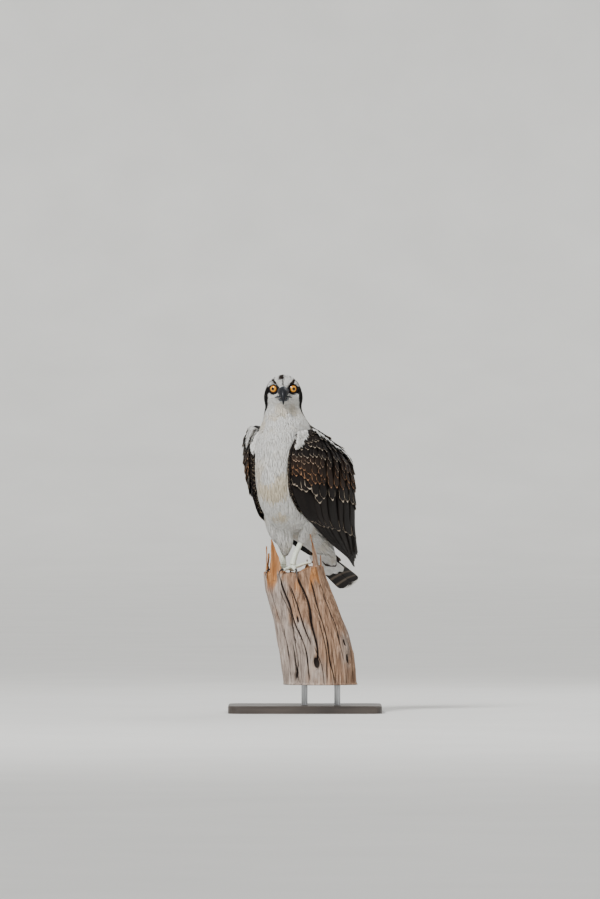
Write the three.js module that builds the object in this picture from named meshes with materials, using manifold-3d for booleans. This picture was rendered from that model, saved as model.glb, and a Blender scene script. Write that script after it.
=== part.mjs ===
// A life-size osprey standing on the broken top of a dead tree, its head turned to the viewer,
// with a short cut length of the trunk as its perch, held by two rods on a flat base.
// Millimetres, +Z up. The origin is the centre of the base's underside.
// The viewer looks along +Y, so +X is to the viewer's right.
import * as THREE from "three";
import { mergeVertices } from "three/addons/utils/BufferGeometryUtils.js";
import Module from "manifold-3d";

const wasm = await Module();
wasm.setup();

// Driving dimensions
const GAP = 0.3;
const BASE_WIDTH = 300;
const BASE_DEPTH = 240;
const BASE_THICKNESS = 15;
const BASE_CORNER = 24;
const BASE_BEVEL = 2;
const ROD_LENGTH = 40;
const ROD_RADIUS = 6;
const PERCH_LENGTH = 220;
const FOOT_LEVEL = BASE_THICKNESS + ROD_LENGTH + PERCH_LENGTH;

// Where the bird stands on the base, and how far its body is turned to the viewer's left
const BODY_TURN = THREE.MathUtils.degToRad(27);
const BODY_X = -35;
const BODY_Y = -42;

// Heights above the soles
const CROWN = 386;
const HEAD_CUT = 316;
const NECK_CUT = 286;
const BODY_BOTTOM = -2;
const HEAD_CENTRE = [-1.5, -13];

// Helpers

function clamp01(value) {
  return Math.min(1, Math.max(0, value));
}

function smooth(from, to, value) {
  const part = clamp01((value - from) / (to - from));
  return part * part * (3 - 2 * part);
}

function mix(from, to, part) {
  return from + (to - from) * part;
}

function seededRandom(seed) {
  let state = seed;
  return () => {
    state = (state + 0x6d2b79f5) | 0;
    let bits = Math.imul(state ^ (state >>> 15), 1 | state);
    bits = (bits + Math.imul(bits ^ (bits >>> 7), 61 | bits)) ^ bits;
    return ((bits ^ (bits >>> 14)) >>> 0) / 4294967296;
  };
}

// A smooth value along stations of [key, value], flat past the ends.
function profile(stations) {
  const slope = (index) => {
    const before = stations[Math.max(0, index - 1)];
    const after = stations[Math.min(stations.length - 1, index + 1)];
    return (after[1] - before[1]) / (after[0] - before[0]);
  };
  return (key) => {
    if (key <= stations[0][0]) return stations[0][1];
    for (let i = 1; i < stations.length; i++) {
      const [k0, v0] = stations[i - 1];
      const [k1, v1] = stations[i];
      if (key > k1) continue;
      const span = k1 - k0;
      const u = (key - k0) / span;
      const h00 = (1 + 2 * u) * (1 - u) * (1 - u);
      const h10 = u * (1 - u) * (1 - u);
      const h01 = u * u * (3 - 2 * u);
      const h11 = u * u * (u - 1);
      return h00 * v0 + h10 * span * slope(i - 1) + h01 * v1 + h11 * span * slope(i);
    }
    return stations[stations.length - 1][1];
  };
}

function smoothPath(points) {
  return new THREE.CatmullRomCurve3(points.map((p) => new THREE.Vector3(...p)));
}

// A closed surface as a geometry whose faces point out, whichever way its triangles were listed.
function closedGeometry(points, triangles) {
  let volume = 0;
  for (const [a, b, c] of triangles) {
    volume += points[a].dot(new THREE.Vector3().crossVectors(points[b], points[c]));
  }
  const facing = volume < 0 ? triangles.map(([a, b, c]) => [a, c, b]) : triangles;
  const geometry = new THREE.BufferGeometry();
  const positions = new Float32Array(points.flatMap((p) => p.toArray()));
  geometry.setAttribute("position", new THREE.BufferAttribute(positions, 3));
  geometry.setIndex(facing.flat());
  return geometry;
}

// Rings of equal point count, joined into a tube and closed by a fan at each end.
function loft(rings) {
  const sides = rings[0].length;
  const points = rings.flat();
  const triangles = [];
  for (let r = 0; r + 1 < rings.length; r++) {
    for (let k = 0; k < sides; k++) {
      const a = r * sides + k;
      const b = r * sides + ((k + 1) % sides);
      triangles.push([a, b, b + sides], [a, b + sides, a + sides]);
    }
  }
  for (const end of [0, rings.length - 1]) {
    const centre = new THREE.Vector3();
    rings[end].forEach((p) => centre.addScaledVector(p, 1 / sides));
    points.push(centre);
    for (let k = 0; k < sides; k++) {
      const a = end * sides + k;
      const b = end * sides + ((k + 1) % sides);
      triangles.push(end ? [a, b, points.length - 1] : [b, a, points.length - 1]);
    }
  }
  return closedGeometry(points, triangles);
}

// Rows of [top, bottom] point pairs, closed all round: a thin sheet split alike on both faces.
function sheet(rows) {
  const columns = rows[0].length;
  const points = rows.flat(2);
  const at = (row, column, side) => 2 * (row * columns + column) + side;
  const triangles = [];
  const quad = (a, b, c, d) => triangles.push([a, b, c], [a, c, d]);
  for (let r = 0; r + 1 < rows.length; r++) {
    for (let c = 0; c + 1 < columns; c++) {
      quad(at(r, c, 0), at(r, c + 1, 0), at(r + 1, c + 1, 0), at(r + 1, c, 0));
      triangles.push([at(r, c, 1), at(r + 1, c + 1, 1), at(r, c + 1, 1)]);
      triangles.push([at(r, c, 1), at(r + 1, c, 1), at(r + 1, c + 1, 1)]);
    }
    const last = columns - 1;
    quad(at(r, 0, 1), at(r, 0, 0), at(r + 1, 0, 0), at(r + 1, 0, 1));
    quad(at(r, last, 0), at(r, last, 1), at(r + 1, last, 1), at(r + 1, last, 0));
  }
  const end = rows.length - 1;
  for (let c = 0; c + 1 < columns; c++) {
    quad(at(0, c, 1), at(0, c + 1, 1), at(0, c + 1, 0), at(0, c, 0));
    quad(at(end, c, 0), at(end, c + 1, 0), at(end, c + 1, 1), at(end, c, 1));
  }
  return closedGeometry(points, triangles);
}

// A round bar of varying size along a smooth path: size(u) gives its half-width and half-height.
function taperedBar(points, size, { sides = 10, steps = 6, up = [0, 0, 1] } = {}) {
  const path = smoothPath(points);
  const upward = new THREE.Vector3(...up);
  const rings = [];
  for (let i = 0; i <= steps; i++) {
    const u = i / steps;
    const centre = path.getPoint(u);
    const along = path.getTangent(u);
    const side = new THREE.Vector3().crossVectors(along, upward).normalize();
    const over = new THREE.Vector3().crossVectors(side, along);
    const [halfWidth, halfHeight] = size(u);
    rings.push(
      Array.from({ length: sides }, (_, k) => {
        const turn = (2 * Math.PI * k) / sides;
        return centre
          .clone()
          .addScaledVector(side, halfWidth * Math.cos(turn))
          .addScaledVector(over, halfHeight * Math.sin(turn));
      }),
    );
  }
  return loft(rings);
}

function solid(geometry) {
  const bare = geometry.clone();
  bare.deleteAttribute("normal");
  bare.deleteAttribute("uv");
  const merged = mergeVertices(bare, 1e-3);
  return new wasm.Manifold(
    new wasm.Mesh({
      numProp: 3,
      vertProperties: merged.attributes.position.array,
      triVerts: new Uint32Array(merged.index.array),
    }),
  );
}

// The geometry of a solid's largest closed surface, without the scraps a cut leaves.
function geometryOf(body) {
  const largest = body.decompose().reduce((a, b) => (b.volume() > a.volume() ? b : a));
  const mesh = largest.getMesh();
  const geometry = new THREE.BufferGeometry();
  geometry.setAttribute("position", new THREE.BufferAttribute(mesh.vertProperties, 3));
  geometry.setIndex(new THREE.BufferAttribute(mesh.triVerts, 1));
  return geometry;
}

function joined(geometries) {
  return geometries.map(solid).reduce((a, b) => a.add(b));
}

// Materials

function material(color, roughness) {
  return new THREE.MeshStandardMaterial({ color, roughness, metalness: 0 });
}

const WHITE_PLUMAGE = material(0xe9e4d8, 0.85);
const DARK_PLUMAGE = material(0x2e2119, 0.7);
const BILL_HORN = material(0x1d2329, 0.35);
const EYE_YELLOW = material(0xe79a1c, 0.12);
const FOOT_SKIN = material(0xc9cdbb, 0.6);
const CLAW_HORN = material(0x0d0d0f, 0.3);
const DEAD_WOOD = material(0xa9866b, 0.9);
const STAND_WOOD = material(0x2b2724, 0.5);
const STAND_STEEL = material(0x8d9094, 0.35);

function part(name, geometry, look) {
  const mesh = new THREE.Mesh(geometry, look);
  geometry.computeVertexNormals();
  mesh.name = name;
  return mesh;
}

// Body: level slices from the undertail coverts to the crown. Front and back are the slice's ends
// along Y, and the bird faces -Y.

const bodyFront = profile([
  [-2, 176], [4, 164], [12, 146], [28, 116], [46, 84], [64, 46], [78, 0], [97, -41],
  [128, -67], [164, -80], [205, -84], [246, -80], [270, -71], [287, -60], [300, -49], [316, -39],
]);
const bodyBack = profile([
  [-2, 182], [10, 178], [28, 171], [46, 164], [64, 157], [84, 149], [123, 134], [169, 118],
  [205, 110], [241, 98], [269, 73], [297, 38], [316, 30],
]);
const bodyHalfWidth = profile([
  [-2, 5], [4, 12], [12, 19], [28, 27], [46, 31], [64, 35], [79, 39], [100, 45], [131, 54],
  [168, 60], [210, 62], [251, 58], [283, 48], [300, 42], [316, 37],
]);
const BODY_ROUNDNESS = 2.2;
const BODY_SIDES = 30;
const TORSO_STEPS = 15;
const NECK_STEPS = 3;

// The neck carries the head round to the viewer.
function neckTurn(height) {
  return BODY_TURN * smooth(NECK_CUT - 6, HEAD_CUT, height);
}

function sliceRing(front, back, halfWidth, height, roundness, sides) {
  const middle = (front + back) / 2;
  const halfDepth = (back - front) / 2;
  const power = 2 / roundness;
  return Array.from({ length: sides }, (_, k) => {
    const turn = (2 * Math.PI * k) / sides;
    const c = Math.cos(turn);
    const s = Math.sin(turn);
    return new THREE.Vector3(
      halfWidth * Math.sign(c) * Math.abs(c) ** power,
      middle + halfDepth * Math.sign(s) * Math.abs(s) ** power,
      height,
    );
  });
}

function bodyRing(height, margin) {
  const turn = neckTurn(height);
  const shift = smooth(NECK_CUT, HEAD_CUT, height);
  const ring = sliceRing(
    bodyFront(height) - margin,
    bodyBack(height) + margin,
    bodyHalfWidth(height) + margin,
    height,
    BODY_ROUNDNESS,
    BODY_SIDES,
  );
  const [cx, cy] = HEAD_CENTRE;
  return ring.map((p) => {
    const x = p.x;
    const y = p.y - cy;
    return new THREE.Vector3(
      x * Math.cos(turn) - y * Math.sin(turn) + cx * shift,
      x * Math.sin(turn) + y * Math.cos(turn) + cy,
      p.z,
    );
  });
}

function bodySlices(from, to, steps, margin) {
  return Array.from({ length: steps + 1 }, (_, i) => bodyRing(mix(from, to, i / steps), margin));
}

// The white feathers that hang between the legs
const BELLY_TUFT = {
  route: [[-8, -16, 116], [-6, -4, 84], [-3, 6, 56], [-4, 8, 35]],
  size: [[0, 24], [0.35, 15], [0.7, 8], [1, 1.2]],
};

function bellyTuft(margin) {
  const size = profile(BELLY_TUFT.size);
  const half = (u) => [size(u) + margin, size(u) * 0.7 + margin];
  return taperedBar(BELLY_TUFT.route, half, { sides: 12, steps: 7, up: [0, 1, 0] });
}

function torso() {
  const trunk = loft(bodySlices(BODY_BOTTOM, NECK_CUT, TORSO_STEPS, 0));
  return geometryOf(joined([trunk, bellyTuft(0)]));
}

function neck() {
  return loft(bodySlices(NECK_CUT + GAP, HEAD_CUT, NECK_STEPS, 0));
}

// The room that torso and neck take up, with the gap round them.
function bodySpace() {
  const lower = bodySlices(BODY_BOTTOM, NECK_CUT, TORSO_STEPS, GAP);
  const upper = bodySlices(NECK_CUT + GAP, HEAD_CUT + GAP, NECK_STEPS, GAP);
  return joined([loft([...lower, ...upper]), bellyTuft(GAP)]);
}

// Head, in its own frame: centred over HEAD_CENTRE, facing -Y, heights still above the soles.

const headFront = profile([
  [316, -26], [325, -24], [335, -29], [345, -34], [357, -36], [368, -33], [377, -27],
  [383, -18], [386, -4],
]);
const headBack = profile([
  [316, 43], [325, 42], [345, 43], [357, 42], [368, 38], [377, 31], [383, 21], [386, 6],
]);
const headHalfWidth = profile([
  [316, 37], [324, 36.2], [339, 38.6], [354, 36.4], [368.6, 30.4], [377.5, 22.6], [383, 14],
  [386, 3.5],
]);
const HEAD_ROUNDNESS = 2.1;
const HEAD_SIDES = 32;
const HEAD_STEPS = 12;

const EYE_RADIUS = 10.2;
const EYE_OUT = 16.6;
const EYE_FORWARD = -15.5;
const EYE_HEIGHT = 357;
const EYE_TURN = THREE.MathUtils.degToRad(22);
const EYE_OPENING = 7.2;
const LID_THICKNESS = 1.7;

function headRing(height, margin) {
  return sliceRing(
    headFront(height) - margin,
    headBack(height) + margin,
    headHalfWidth(height) + margin,
    height,
    HEAD_ROUNDNESS,
    HEAD_SIDES,
  );
}

function headForm(margin = 0) {
  const rings = [];
  for (let i = 0; i <= HEAD_STEPS; i++) {
    const part = Math.sin((i / HEAD_STEPS) * (Math.PI / 2));
    rings.push(headRing(mix(HEAD_CUT + GAP, CROWN, part), margin));
  }
  return loft(rings);
}

function eyeball(side, margin = 0) {
  const ball = new THREE.SphereGeometry(EYE_RADIUS + margin, 14, 10);
  ball.rotateX(Math.PI / 2);
  return ball.translate(side * EYE_OUT, EYE_FORWARD, EYE_HEIGHT);
}

// Turns a form made along +Z to look out of the eye, and moves it there.
function facingOutOfEye(geometry, side, reach) {
  geometry.translate(0, 0, reach);
  geometry.rotateX(Math.PI / 2);
  geometry.rotateZ(side * EYE_TURN);
  return geometry.translate(side * EYE_OUT, EYE_FORWARD, EYE_HEIGHT);
}

function eyeSocket(side) {
  const well = 9;
  const outline = [
    [0, 0], [EYE_OPENING, 0], [EYE_OPENING, well], [EYE_OPENING + 3, well + 9], [0, well + 9],
  ];
  const cone = new THREE.LatheGeometry(outline.map(([r, h]) => new THREE.Vector2(r, h)), 16);
  cone.rotateX(Math.PI / 2);
  return facingOutOfEye(cone, side, 0);
}

function eyelids(side) {
  const ring = new THREE.TorusGeometry(EYE_OPENING + LID_THICKNESS, LID_THICKNESS + 0.5, 5, 16);
  return facingOutOfEye(ring, side, EYE_RADIUS - 2);
}

// Bill: sections of [top y, top z, bottom y, bottom z, half-width], base to tip, head frame
const UPPER_BILL = [
  [-24, 362, -24, 341.5, 10], [-33, 362, -33, 341.4, 11.2], [-41, 361, -40, 341.3, 10.4],
  [-49, 358.5, -46, 340.5, 8.6], [-55.5, 353, -51, 338.8, 6.8], [-59.5, 345.5, -54, 336.8, 4.9],
  [-61.2, 337.5, -56.5, 333.5, 3.1], [-60.8, 330, -58.4, 329, 1.5], [-60.2, 325.6, -59.6, 325.4, 0.5],
];
const LOWER_BILL = [
  [-22, 341, -22, 332.5, 9], [-31, 340.9, -31, 332.6, 9.4], [-39, 340.8, -38, 333.6, 8],
  [-46, 339.9, -45, 334, 5.6], [-51, 337.6, -50.5, 333.8, 3], [-53, 335.8, -53, 334.6, 1.2],
];
const BILL_SIDES = 12;
const NOSTRIL = { forward: -41, height: 354.5, out: 10.2, half: [2.4, 3.2, 1.3] };

function billForm(sections) {
  const rings = sections.map(([topY, topZ, bottomY, bottomZ, halfWidth]) =>
    Array.from({ length: BILL_SIDES }, (_, k) => {
      const turn = (2 * Math.PI * k) / BILL_SIDES;
      const up = 0.5 + 0.5 * Math.sin(turn);
      const out = Math.sign(Math.cos(turn)) * Math.abs(Math.cos(turn)) ** 0.8;
      return new THREE.Vector3(halfWidth * out, mix(bottomY, topY, up), mix(bottomZ, topZ, up));
    }),
  );
  return loft(rings);
}

function nostril(side) {
  const slit = new THREE.SphereGeometry(1, 8, 6);
  slit.scale(...NOSTRIL.half);
  return slit.translate(side * NOSTRIL.out, NOSTRIL.forward, NOSTRIL.height);
}

// The corner of the mouth: a low lip on each side of the face, from the bill back under the eye.
function mouthLip(side, height) {
  const route = [
    [side * 9, -34, height], [side * 15, -28, height - 0.6], [side * 20.5, -21, height - 2.2],
  ];
  return taperedBar(route, (u) => [mix(2.6, 0.8, u), mix(1.7, 0.6, u)], { sides: 6, steps: 4 });
}

function buildHead() {
  const blank = solid(headForm(GAP));
  const upper = solid(billForm(UPPER_BILL)).subtract(blank);
  const lower = solid(billForm(LOWER_BILL)).subtract(blank);
  let skull = solid(headForm());
  for (const side of [-1, 1]) {
    skull = skull.add(solid(eyelids(side)));
  }
  const pieces = [];
  for (const side of [-1, 1]) {
    const name = side > 0 ? "left" : "right";
    skull = skull.subtract(solid(eyeSocket(side))).subtract(solid(eyeball(side, GAP)));
    pieces.push(part("eye_" + name, eyeball(side), EYE_YELLOW));
  }
  const lips = [-1, 1].flatMap((side) => [mouthLip(side, 343.6), mouthLip(side, 339.2)]);
  const clearance = joined([billForm(UPPER_BILL), billForm(LOWER_BILL)].map(grown));
  skull = skull.add(joined(lips).subtract(clearance));
  const drilled = [-1, 1].reduce((bill, side) => bill.subtract(solid(nostril(side))), upper);
  pieces.push(part("head", geometryOf(skull), WHITE_PLUMAGE));
  pieces.push(part("bill_upper", geometryOf(drilled), BILL_HORN));
  pieces.push(part("bill_lower", geometryOf(lower), BILL_HORN));
  return pieces;
}

// A copy of a small form, grown from its own middle by about the gap on each side.
function grown(geometry) {
  geometry.computeBoundingBox();
  const size = geometry.boundingBox.getSize(new THREE.Vector3());
  const middle = geometry.boundingBox.getCenter(new THREE.Vector3());
  const scale = size.clone().addScalar(2.4 * GAP).divide(size);
  const copy = geometry.clone().translate(-middle.x, -middle.y, -middle.z);
  copy.scale(scale.x, scale.y, scale.z);
  return copy.translate(middle.x, middle.y, middle.z);
}

// Wings: a folded wing is a curved surface given by four lines from the shoulder to the tip.
// edge is the front and lower edge, front and corner are its two bends, back is its upper edge.

const WING_LINES = {
  edge: [
    [44, -44, 276], [49, -63, 250], [46, -71, 222], [45, -71, 192], [45, -61, 152],
    [47, -26, 114], [46, 28, 88], [44, 103, 54], [35, 192, 26], [19, 258, 4],
  ],
  front: [
    [68, -13, 282], [81, -22, 256], [83, -20, 224], [80, -16, 190], [73, -6, 152],
    [65, 20, 112], [57, 68, 84], [50, 128, 54], [37, 200, 27], [18, 261, 7],
  ],
  corner: [
    [42, 38, 281], [62, 72, 254], [85, 100, 220], [87, 112, 190], [84, 122, 160],
    [76, 140, 122], [66, 158, 86], [50, 194, 53], [32, 230, 29], [12, 264, 9],
  ],
  back: [
    [20, 42, 296], [21, 79, 270], [18, 105, 240], [15, 117, 205], [12, 127, 169],
    [10, 150, 123], [8, 182, 90], [7, 213, 58], [6, 241, 33], [4, 266, 10],
  ],
};

const wingCurves = Object.values(WING_LINES).map(smoothPath);

function wingPoint(along, across) {
  const section = new THREE.CatmullRomCurve3(wingCurves.map((curve) => curve.getPoint(along)));
  return section.getPoint(across);
}

// The point on the wing, its outward normal, and the length of one unit of each direction.
function wingFrame(along, across) {
  const step = 0.004;
  const s0 = Math.max(0, along - step);
  const s1 = Math.min(1, along + step);
  const t0 = Math.max(0, across - step);
  const t1 = Math.min(1, across + step);
  const down = wingPoint(s1, across).sub(wingPoint(s0, across));
  const over = wingPoint(along, t1).sub(wingPoint(along, t0));
  return {
    point: wingPoint(along, across),
    normal: new THREE.Vector3().crossVectors(down, over).normalize(),
    acrossLength: over.length() / (t1 - t0),
  };
}

const SHOULDER_LIFT = 6;
// The core under the feathers ends half way to the tips.
const WING_CORE = { rows: 7, columns: 7, reach: 0.6, sunk: 4.5 };

function wingDepth(along, across) {
  const rim = Math.sin(Math.PI * clamp01(across * 0.9 + 0.05));
  return mix(26, 5, smooth(0.3, 0.6, along)) * mix(0.35, 1, rim);
}

// The bird's right shoulder is held a little higher than its left.
function onSide(point, side, along) {
  const lift = side < 0 ? SHOULDER_LIFT * smooth(0.45, 0.05, along) : 0;
  return new THREE.Vector3(side * point.x, point.y, point.z + lift);
}

function wingCore(side) {
  const rows = [];
  for (let r = 0; r <= WING_CORE.rows; r++) {
    const along = (WING_CORE.reach * r) / WING_CORE.rows;
    const row = [];
    for (let c = 0; c <= WING_CORE.columns; c++) {
      const across = c / WING_CORE.columns;
      const { point, normal } = wingFrame(along, across);
      const outer = point.clone().addScaledVector(normal, -WING_CORE.sunk);
      const inner = outer.clone().addScaledVector(normal, -wingDepth(along, across));
      inner.x = Math.max(inner.x, 1.5);
      row.push([onSide(outer, side, along), onSide(inner, side, along)]);
    }
    rows.push(row);
  }
  return sheet(rows);
}

// Tiers of feathers, each row under the tips of the row before it. Pairs run from the front edge
// to the back: from and to are where the roots and tips lie along the wing, across is their place
// over its width. lift is how high the tips stand, and stack how far the back ones lie on the rest.
const WING_TIERS = [
  { name: "primaries", count: 5, from: [0.48, 0.54], to: [1, 0.9], across: [0.16, 0.67],
    width: [29, 31], lift: -0.5, stack: 6.5, stations: 5 },
  { name: "secondaries", count: 6, from: [0.38, 0.46], to: [0.62, 0.72], across: [0.08, 0.68],
    width: [31, 36], lift: 2.4, stack: 0, stations: 3 },
  { name: "tertials", count: 3, from: [0.37, 0.38], to: [0.74, 0.68], across: [0.78, 0.94],
    width: [31, 26], lift: 4.4, stack: 1, stations: 3 },
  { name: "greater coverts", count: 7, from: [0.29, 0.36], to: [0.43, 0.55], across: [0.07, 0.7],
    width: [27, 32], lift: 3, stack: 0, stations: 3 },
  { name: "median coverts", count: 6, from: [0.215, 0.28], to: [0.34, 0.42], across: [0.07, 0.68],
    width: [32, 37], lift: 2.6, stack: 0, stations: 3 },
  { name: "lower lesser coverts", count: 5, from: [0.12, 0.14], to: [0.26, 0.32],
    across: [0.06, 0.66], width: [36, 42], lift: 2.4, stack: 0, stations: 3 },
  { name: "upper lesser coverts", count: 5, from: [0.015, 0.01], to: [0.16, 0.18],
    across: [0.07, 0.64], width: [34, 38], lift: 2, stack: 0, stations: 3 },
  { name: "lower scapulars", count: 3, from: [0.2, 0.22], to: [0.43, 0.46], across: [0.77, 0.94],
    width: [30, 26], lift: 4, stack: 0, stations: 3 },
  { name: "upper scapulars", count: 3, from: [0.03, 0.04], to: [0.26, 0.29], across: [0.75, 0.93],
    width: [27, 24], lift: 3.4, stack: 0, stations: 3 },
];
const VANE_THICKNESS = 0.6;
const VANE_TILT = 1.5;
const VANE_SHAFT = 0.4;
const ROOT_DEPTH = 8;
const VANE_REST = -2.4;
const TIP_ROUNDING = 0.014;

// A vane's half-width as a share of its widest, from root to rounded tip
const vaneShape = profile([[0, 0.7], [0.3, 0.92], [0.6, 1], [0.85, 0.88], [1, 0.5]]);

function wingVane(side, tier, place, random) {
  const start = mix(...tier.from, place);
  const end = Math.min(1, mix(...tier.to, place) + 0.008 * (random() - 0.5));
  const middle = mix(...tier.across, place);
  const width = mix(...tier.width, place) * mix(0.95, 1.03, random());
  const rows = [];
  for (let i = 0; i < tier.stations; i++) {
    const reach = i / (tier.stations - 1);
    const along = mix(start, end, reach);
    const half = (width / 2) * vaneShape(reach);
    const { acrossLength } = wingFrame(along, middle);
    const raised = i ? mix(VANE_REST, tier.lift + tier.stack * place, reach) : -ROOT_DEPTH;
    const row = [-1, 0, 1].map((column) => {
      const across = clamp01(middle + (column * half) / acrossLength);
      const held = along - (column ? TIP_ROUNDING * reach ** 4 : 0);
      const { point, normal } = wingFrame(held, across);
      const height = raised + (column ? -column * VANE_TILT : VANE_SHAFT);
      const top = point.clone().addScaledVector(normal, height);
      const bottom = top.clone().addScaledVector(normal, -VANE_THICKNESS);
      return [onSide(top, side, along), onSide(bottom, side, along)];
    });
    rows.push(row);
  }
  return sheet(rows);
}

function wingFeathers(side) {
  const random = seededRandom(side > 0 ? 11 : 23);
  return WING_TIERS.flatMap((tier) =>
    Array.from({ length: tier.count }, (_, i) =>
      wingVane(side, tier, i / (tier.count - 1), random),
    ),
  );
}

function buildWing(side, carriers) {
  const feathered = joined([wingCore(side), ...wingFeathers(side)]);
  const cut = carriers.reduce((wing, carrier) => wing.subtract(carrier), feathered);
  return part(side > 0 ? "wing_left" : "wing_right", geometryOf(cut), DARK_PLUMAGE);
}

// Tail: its feathers leave the body under the wing tips and slope down to the back.

const TAIL_ROOT = [3, 112, 46];
const TAIL_SLOPE = THREE.MathUtils.degToRad(22);
const TAIL_SWING = THREE.MathUtils.degToRad(3);
const TAIL_ROLL = THREE.MathUtils.degToRad(-38);
const TAIL_LENGTH = 208;
const TAIL_ROOT_HALF = 22;
const TAIL_END_HALF = 21;

// A point on the arched tail plane: along from root to tip, out to the bird's left, above it.
function tailPoint(along, out, above) {
  const arch = -0.006 * out * out;
  const point = new THREE.Vector3(out, along * TAIL_LENGTH, above + arch);
  point.applyAxisAngle(new THREE.Vector3(0, 1, 0), TAIL_ROLL * along);
  point.applyAxisAngle(new THREE.Vector3(1, 0, 0), -TAIL_SLOPE);
  point.applyAxisAngle(new THREE.Vector3(0, 0, 1), TAIL_SWING);
  return point.add(new THREE.Vector3(...TAIL_ROOT));
}

const TAIL_CORE = { rows: 3, columns: 3, reach: 0.46, thick: [13, 6] };
const TAIL_FEATHERS = 12;
const TAIL_FEATHER = { width: 25, thick: 0.7, step: 2, from: 0.26, rounding: 0.09, stations: 3 };

function tailCore() {
  const rows = [];
  for (let r = 0; r <= TAIL_CORE.rows; r++) {
    const along = (TAIL_CORE.reach * r) / TAIL_CORE.rows;
    const half = mix(TAIL_ROOT_HALF, TAIL_END_HALF, along);
    const thick = mix(...TAIL_CORE.thick, r / TAIL_CORE.rows);
    const row = [];
    for (let c = 0; c <= TAIL_CORE.columns; c++) {
      const out = half * mix(-1, 1, c / TAIL_CORE.columns);
      row.push([tailPoint(along, out, thick / 2), tailPoint(along, out, -thick / 2)]);
    }
    rows.push(row);
  }
  return sheet(rows);
}

// The middle pair lies on top, and each feather further out lies under the last.
function tailVane(index) {
  const { width, thick, step, from, rounding, stations } = TAIL_FEATHER;
  const fromMiddle = index - (TAIL_FEATHERS - 1) / 2;
  const order = Math.abs(fromMiddle) - 0.5;
  const level = 5 - step * order - (fromMiddle < 0 ? step / 2 : 0);
  const share = fromMiddle / ((TAIL_FEATHERS - 1) / 2);
  const rows = [];
  for (let i = 0; i < stations; i++) {
    const reach = i / (stations - 1);
    const along = mix(from, 1 - rounding * share * share, reach);
    const spread = mix(TAIL_ROOT_HALF, TAIL_END_HALF, along) - width * 0.42;
    const half = (width / 2) * vaneShape(reach);
    const above = mix(level * 0.35, level, Math.sqrt(reach));
    const row = [-1, 0, 1].map((column) => {
      const out = share * spread + column * half;
      const held = along - (column ? 0.025 * reach ** 4 : 0);
      const ridge = column ? 0 : 0.25;
      return [
        tailPoint(held, out, above + ridge), tailPoint(held, out, above + ridge - thick),
      ];
    });
    rows.push(row);
  }
  return sheet(rows);
}

function buildTail(carrier) {
  const vanes = Array.from({ length: TAIL_FEATHERS }, (_, index) => tailVane(index));
  const tail = joined([tailCore(), ...vanes]).subtract(carrier);
  return part("tail", geometryOf(tail), DARK_PLUMAGE);
}

// Legs: the feathered thigh, the bare tarsus and the toes of each side

const LEGS = {
  left: {
    thigh: [[32, 14, 132], [31, 20, 104], [28, 20, 78], [24, 12, 56]],
    thighSize: [[0, 26], [0.35, 22], [0.7, 16], [1, 8.5]],
    tarsus: [[27, 17, 72], [23, 10, 54], [18, 0, 34], [15, -6, 14]],
    foot: [15, -6],
    toes: {
      inner: [[-4, -33], 31, 0],
      middle: [[23, -31], 36, 0],
      outer: [[28, 22], 36, 14],
      hallux: [[-16, 25], 28, 0],
    },
  },
  right: {
    thigh: [[-32, 4, 130], [-31, 3, 102], [-27, 5, 76], [-19, 11, 54]],
    thighSize: [[0, 26], [0.35, 22], [0.7, 16], [1, 8]],
    tarsus: [[-22, 12, 72], [-18, 13, 52], [-16, 14, 33], [-15, 13, 14]],
    foot: [-15, 13],
    toes: {
      inner: [[12, -26], 28, 0],
      middle: [[-10, -28], 31, 0],
      outer: [[-20, 28], 28, 0],
      hallux: [[4, 30], 28, 0],
    },
  },
};
const TARSUS_RADIUS = 5.6;
const TOE_RADIUS = 4.7;
const TOE_TIP_RADIUS = 3;
const CLAW_LENGTH = 25;
const CLAW_RADIUS = 2.6;

function thigh(leg, margin) {
  const size = profile(leg.thighSize);
  return taperedBar(
    leg.thigh,
    (u) => [size(u) * 0.78 + margin, size(u) + margin],
    { sides: 14, steps: 8, up: [0, 1, 0] },
  );
}

function tarsus(leg, margin) {
  const size = (u) => {
    const knuckle = 1.2 * smooth(0.75, 1, u) + 0.9 * smooth(0.3, 0, u);
    const radius = TARSUS_RADIUS + knuckle + margin;
    return [radius * 0.92, radius];
  };
  return taperedBar(leg.tarsus, size, { sides: 12, steps: 6, up: [0, 1, 0] });
}

// Each toe has its heading on the ground, its length and the rise of the wood under its end.
// It arches from the foot to its last pad, and its claw curves on from there.
function toePath(leg, name) {
  const [[dx, dy], length, rise] = leg.toes[name];
  const [x, y] = leg.foot;
  const heading = Math.atan2(dy, dx);
  const at = (distance, height) => [
    x + distance * Math.cos(heading), y + distance * Math.sin(heading), height,
  ];
  return [
    at(0, 9), at(0.3 * length, 9 + 0.2 * rise), at(0.65 * length, 6.5 + 0.7 * rise),
    at(length, 4.6 + rise),
  ];
}

function toe(leg, name, margin) {
  const pads = (u) => 0.45 * Math.cos(u * Math.PI * 6);
  const radius = (u) => mix(TOE_RADIUS, TOE_TIP_RADIUS, u) + pads(u) + margin;
  const route = toePath(leg, name);
  return taperedBar(route, (u) => [radius(u), radius(u) * 0.95], { sides: 7, steps: 5 });
}

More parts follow.
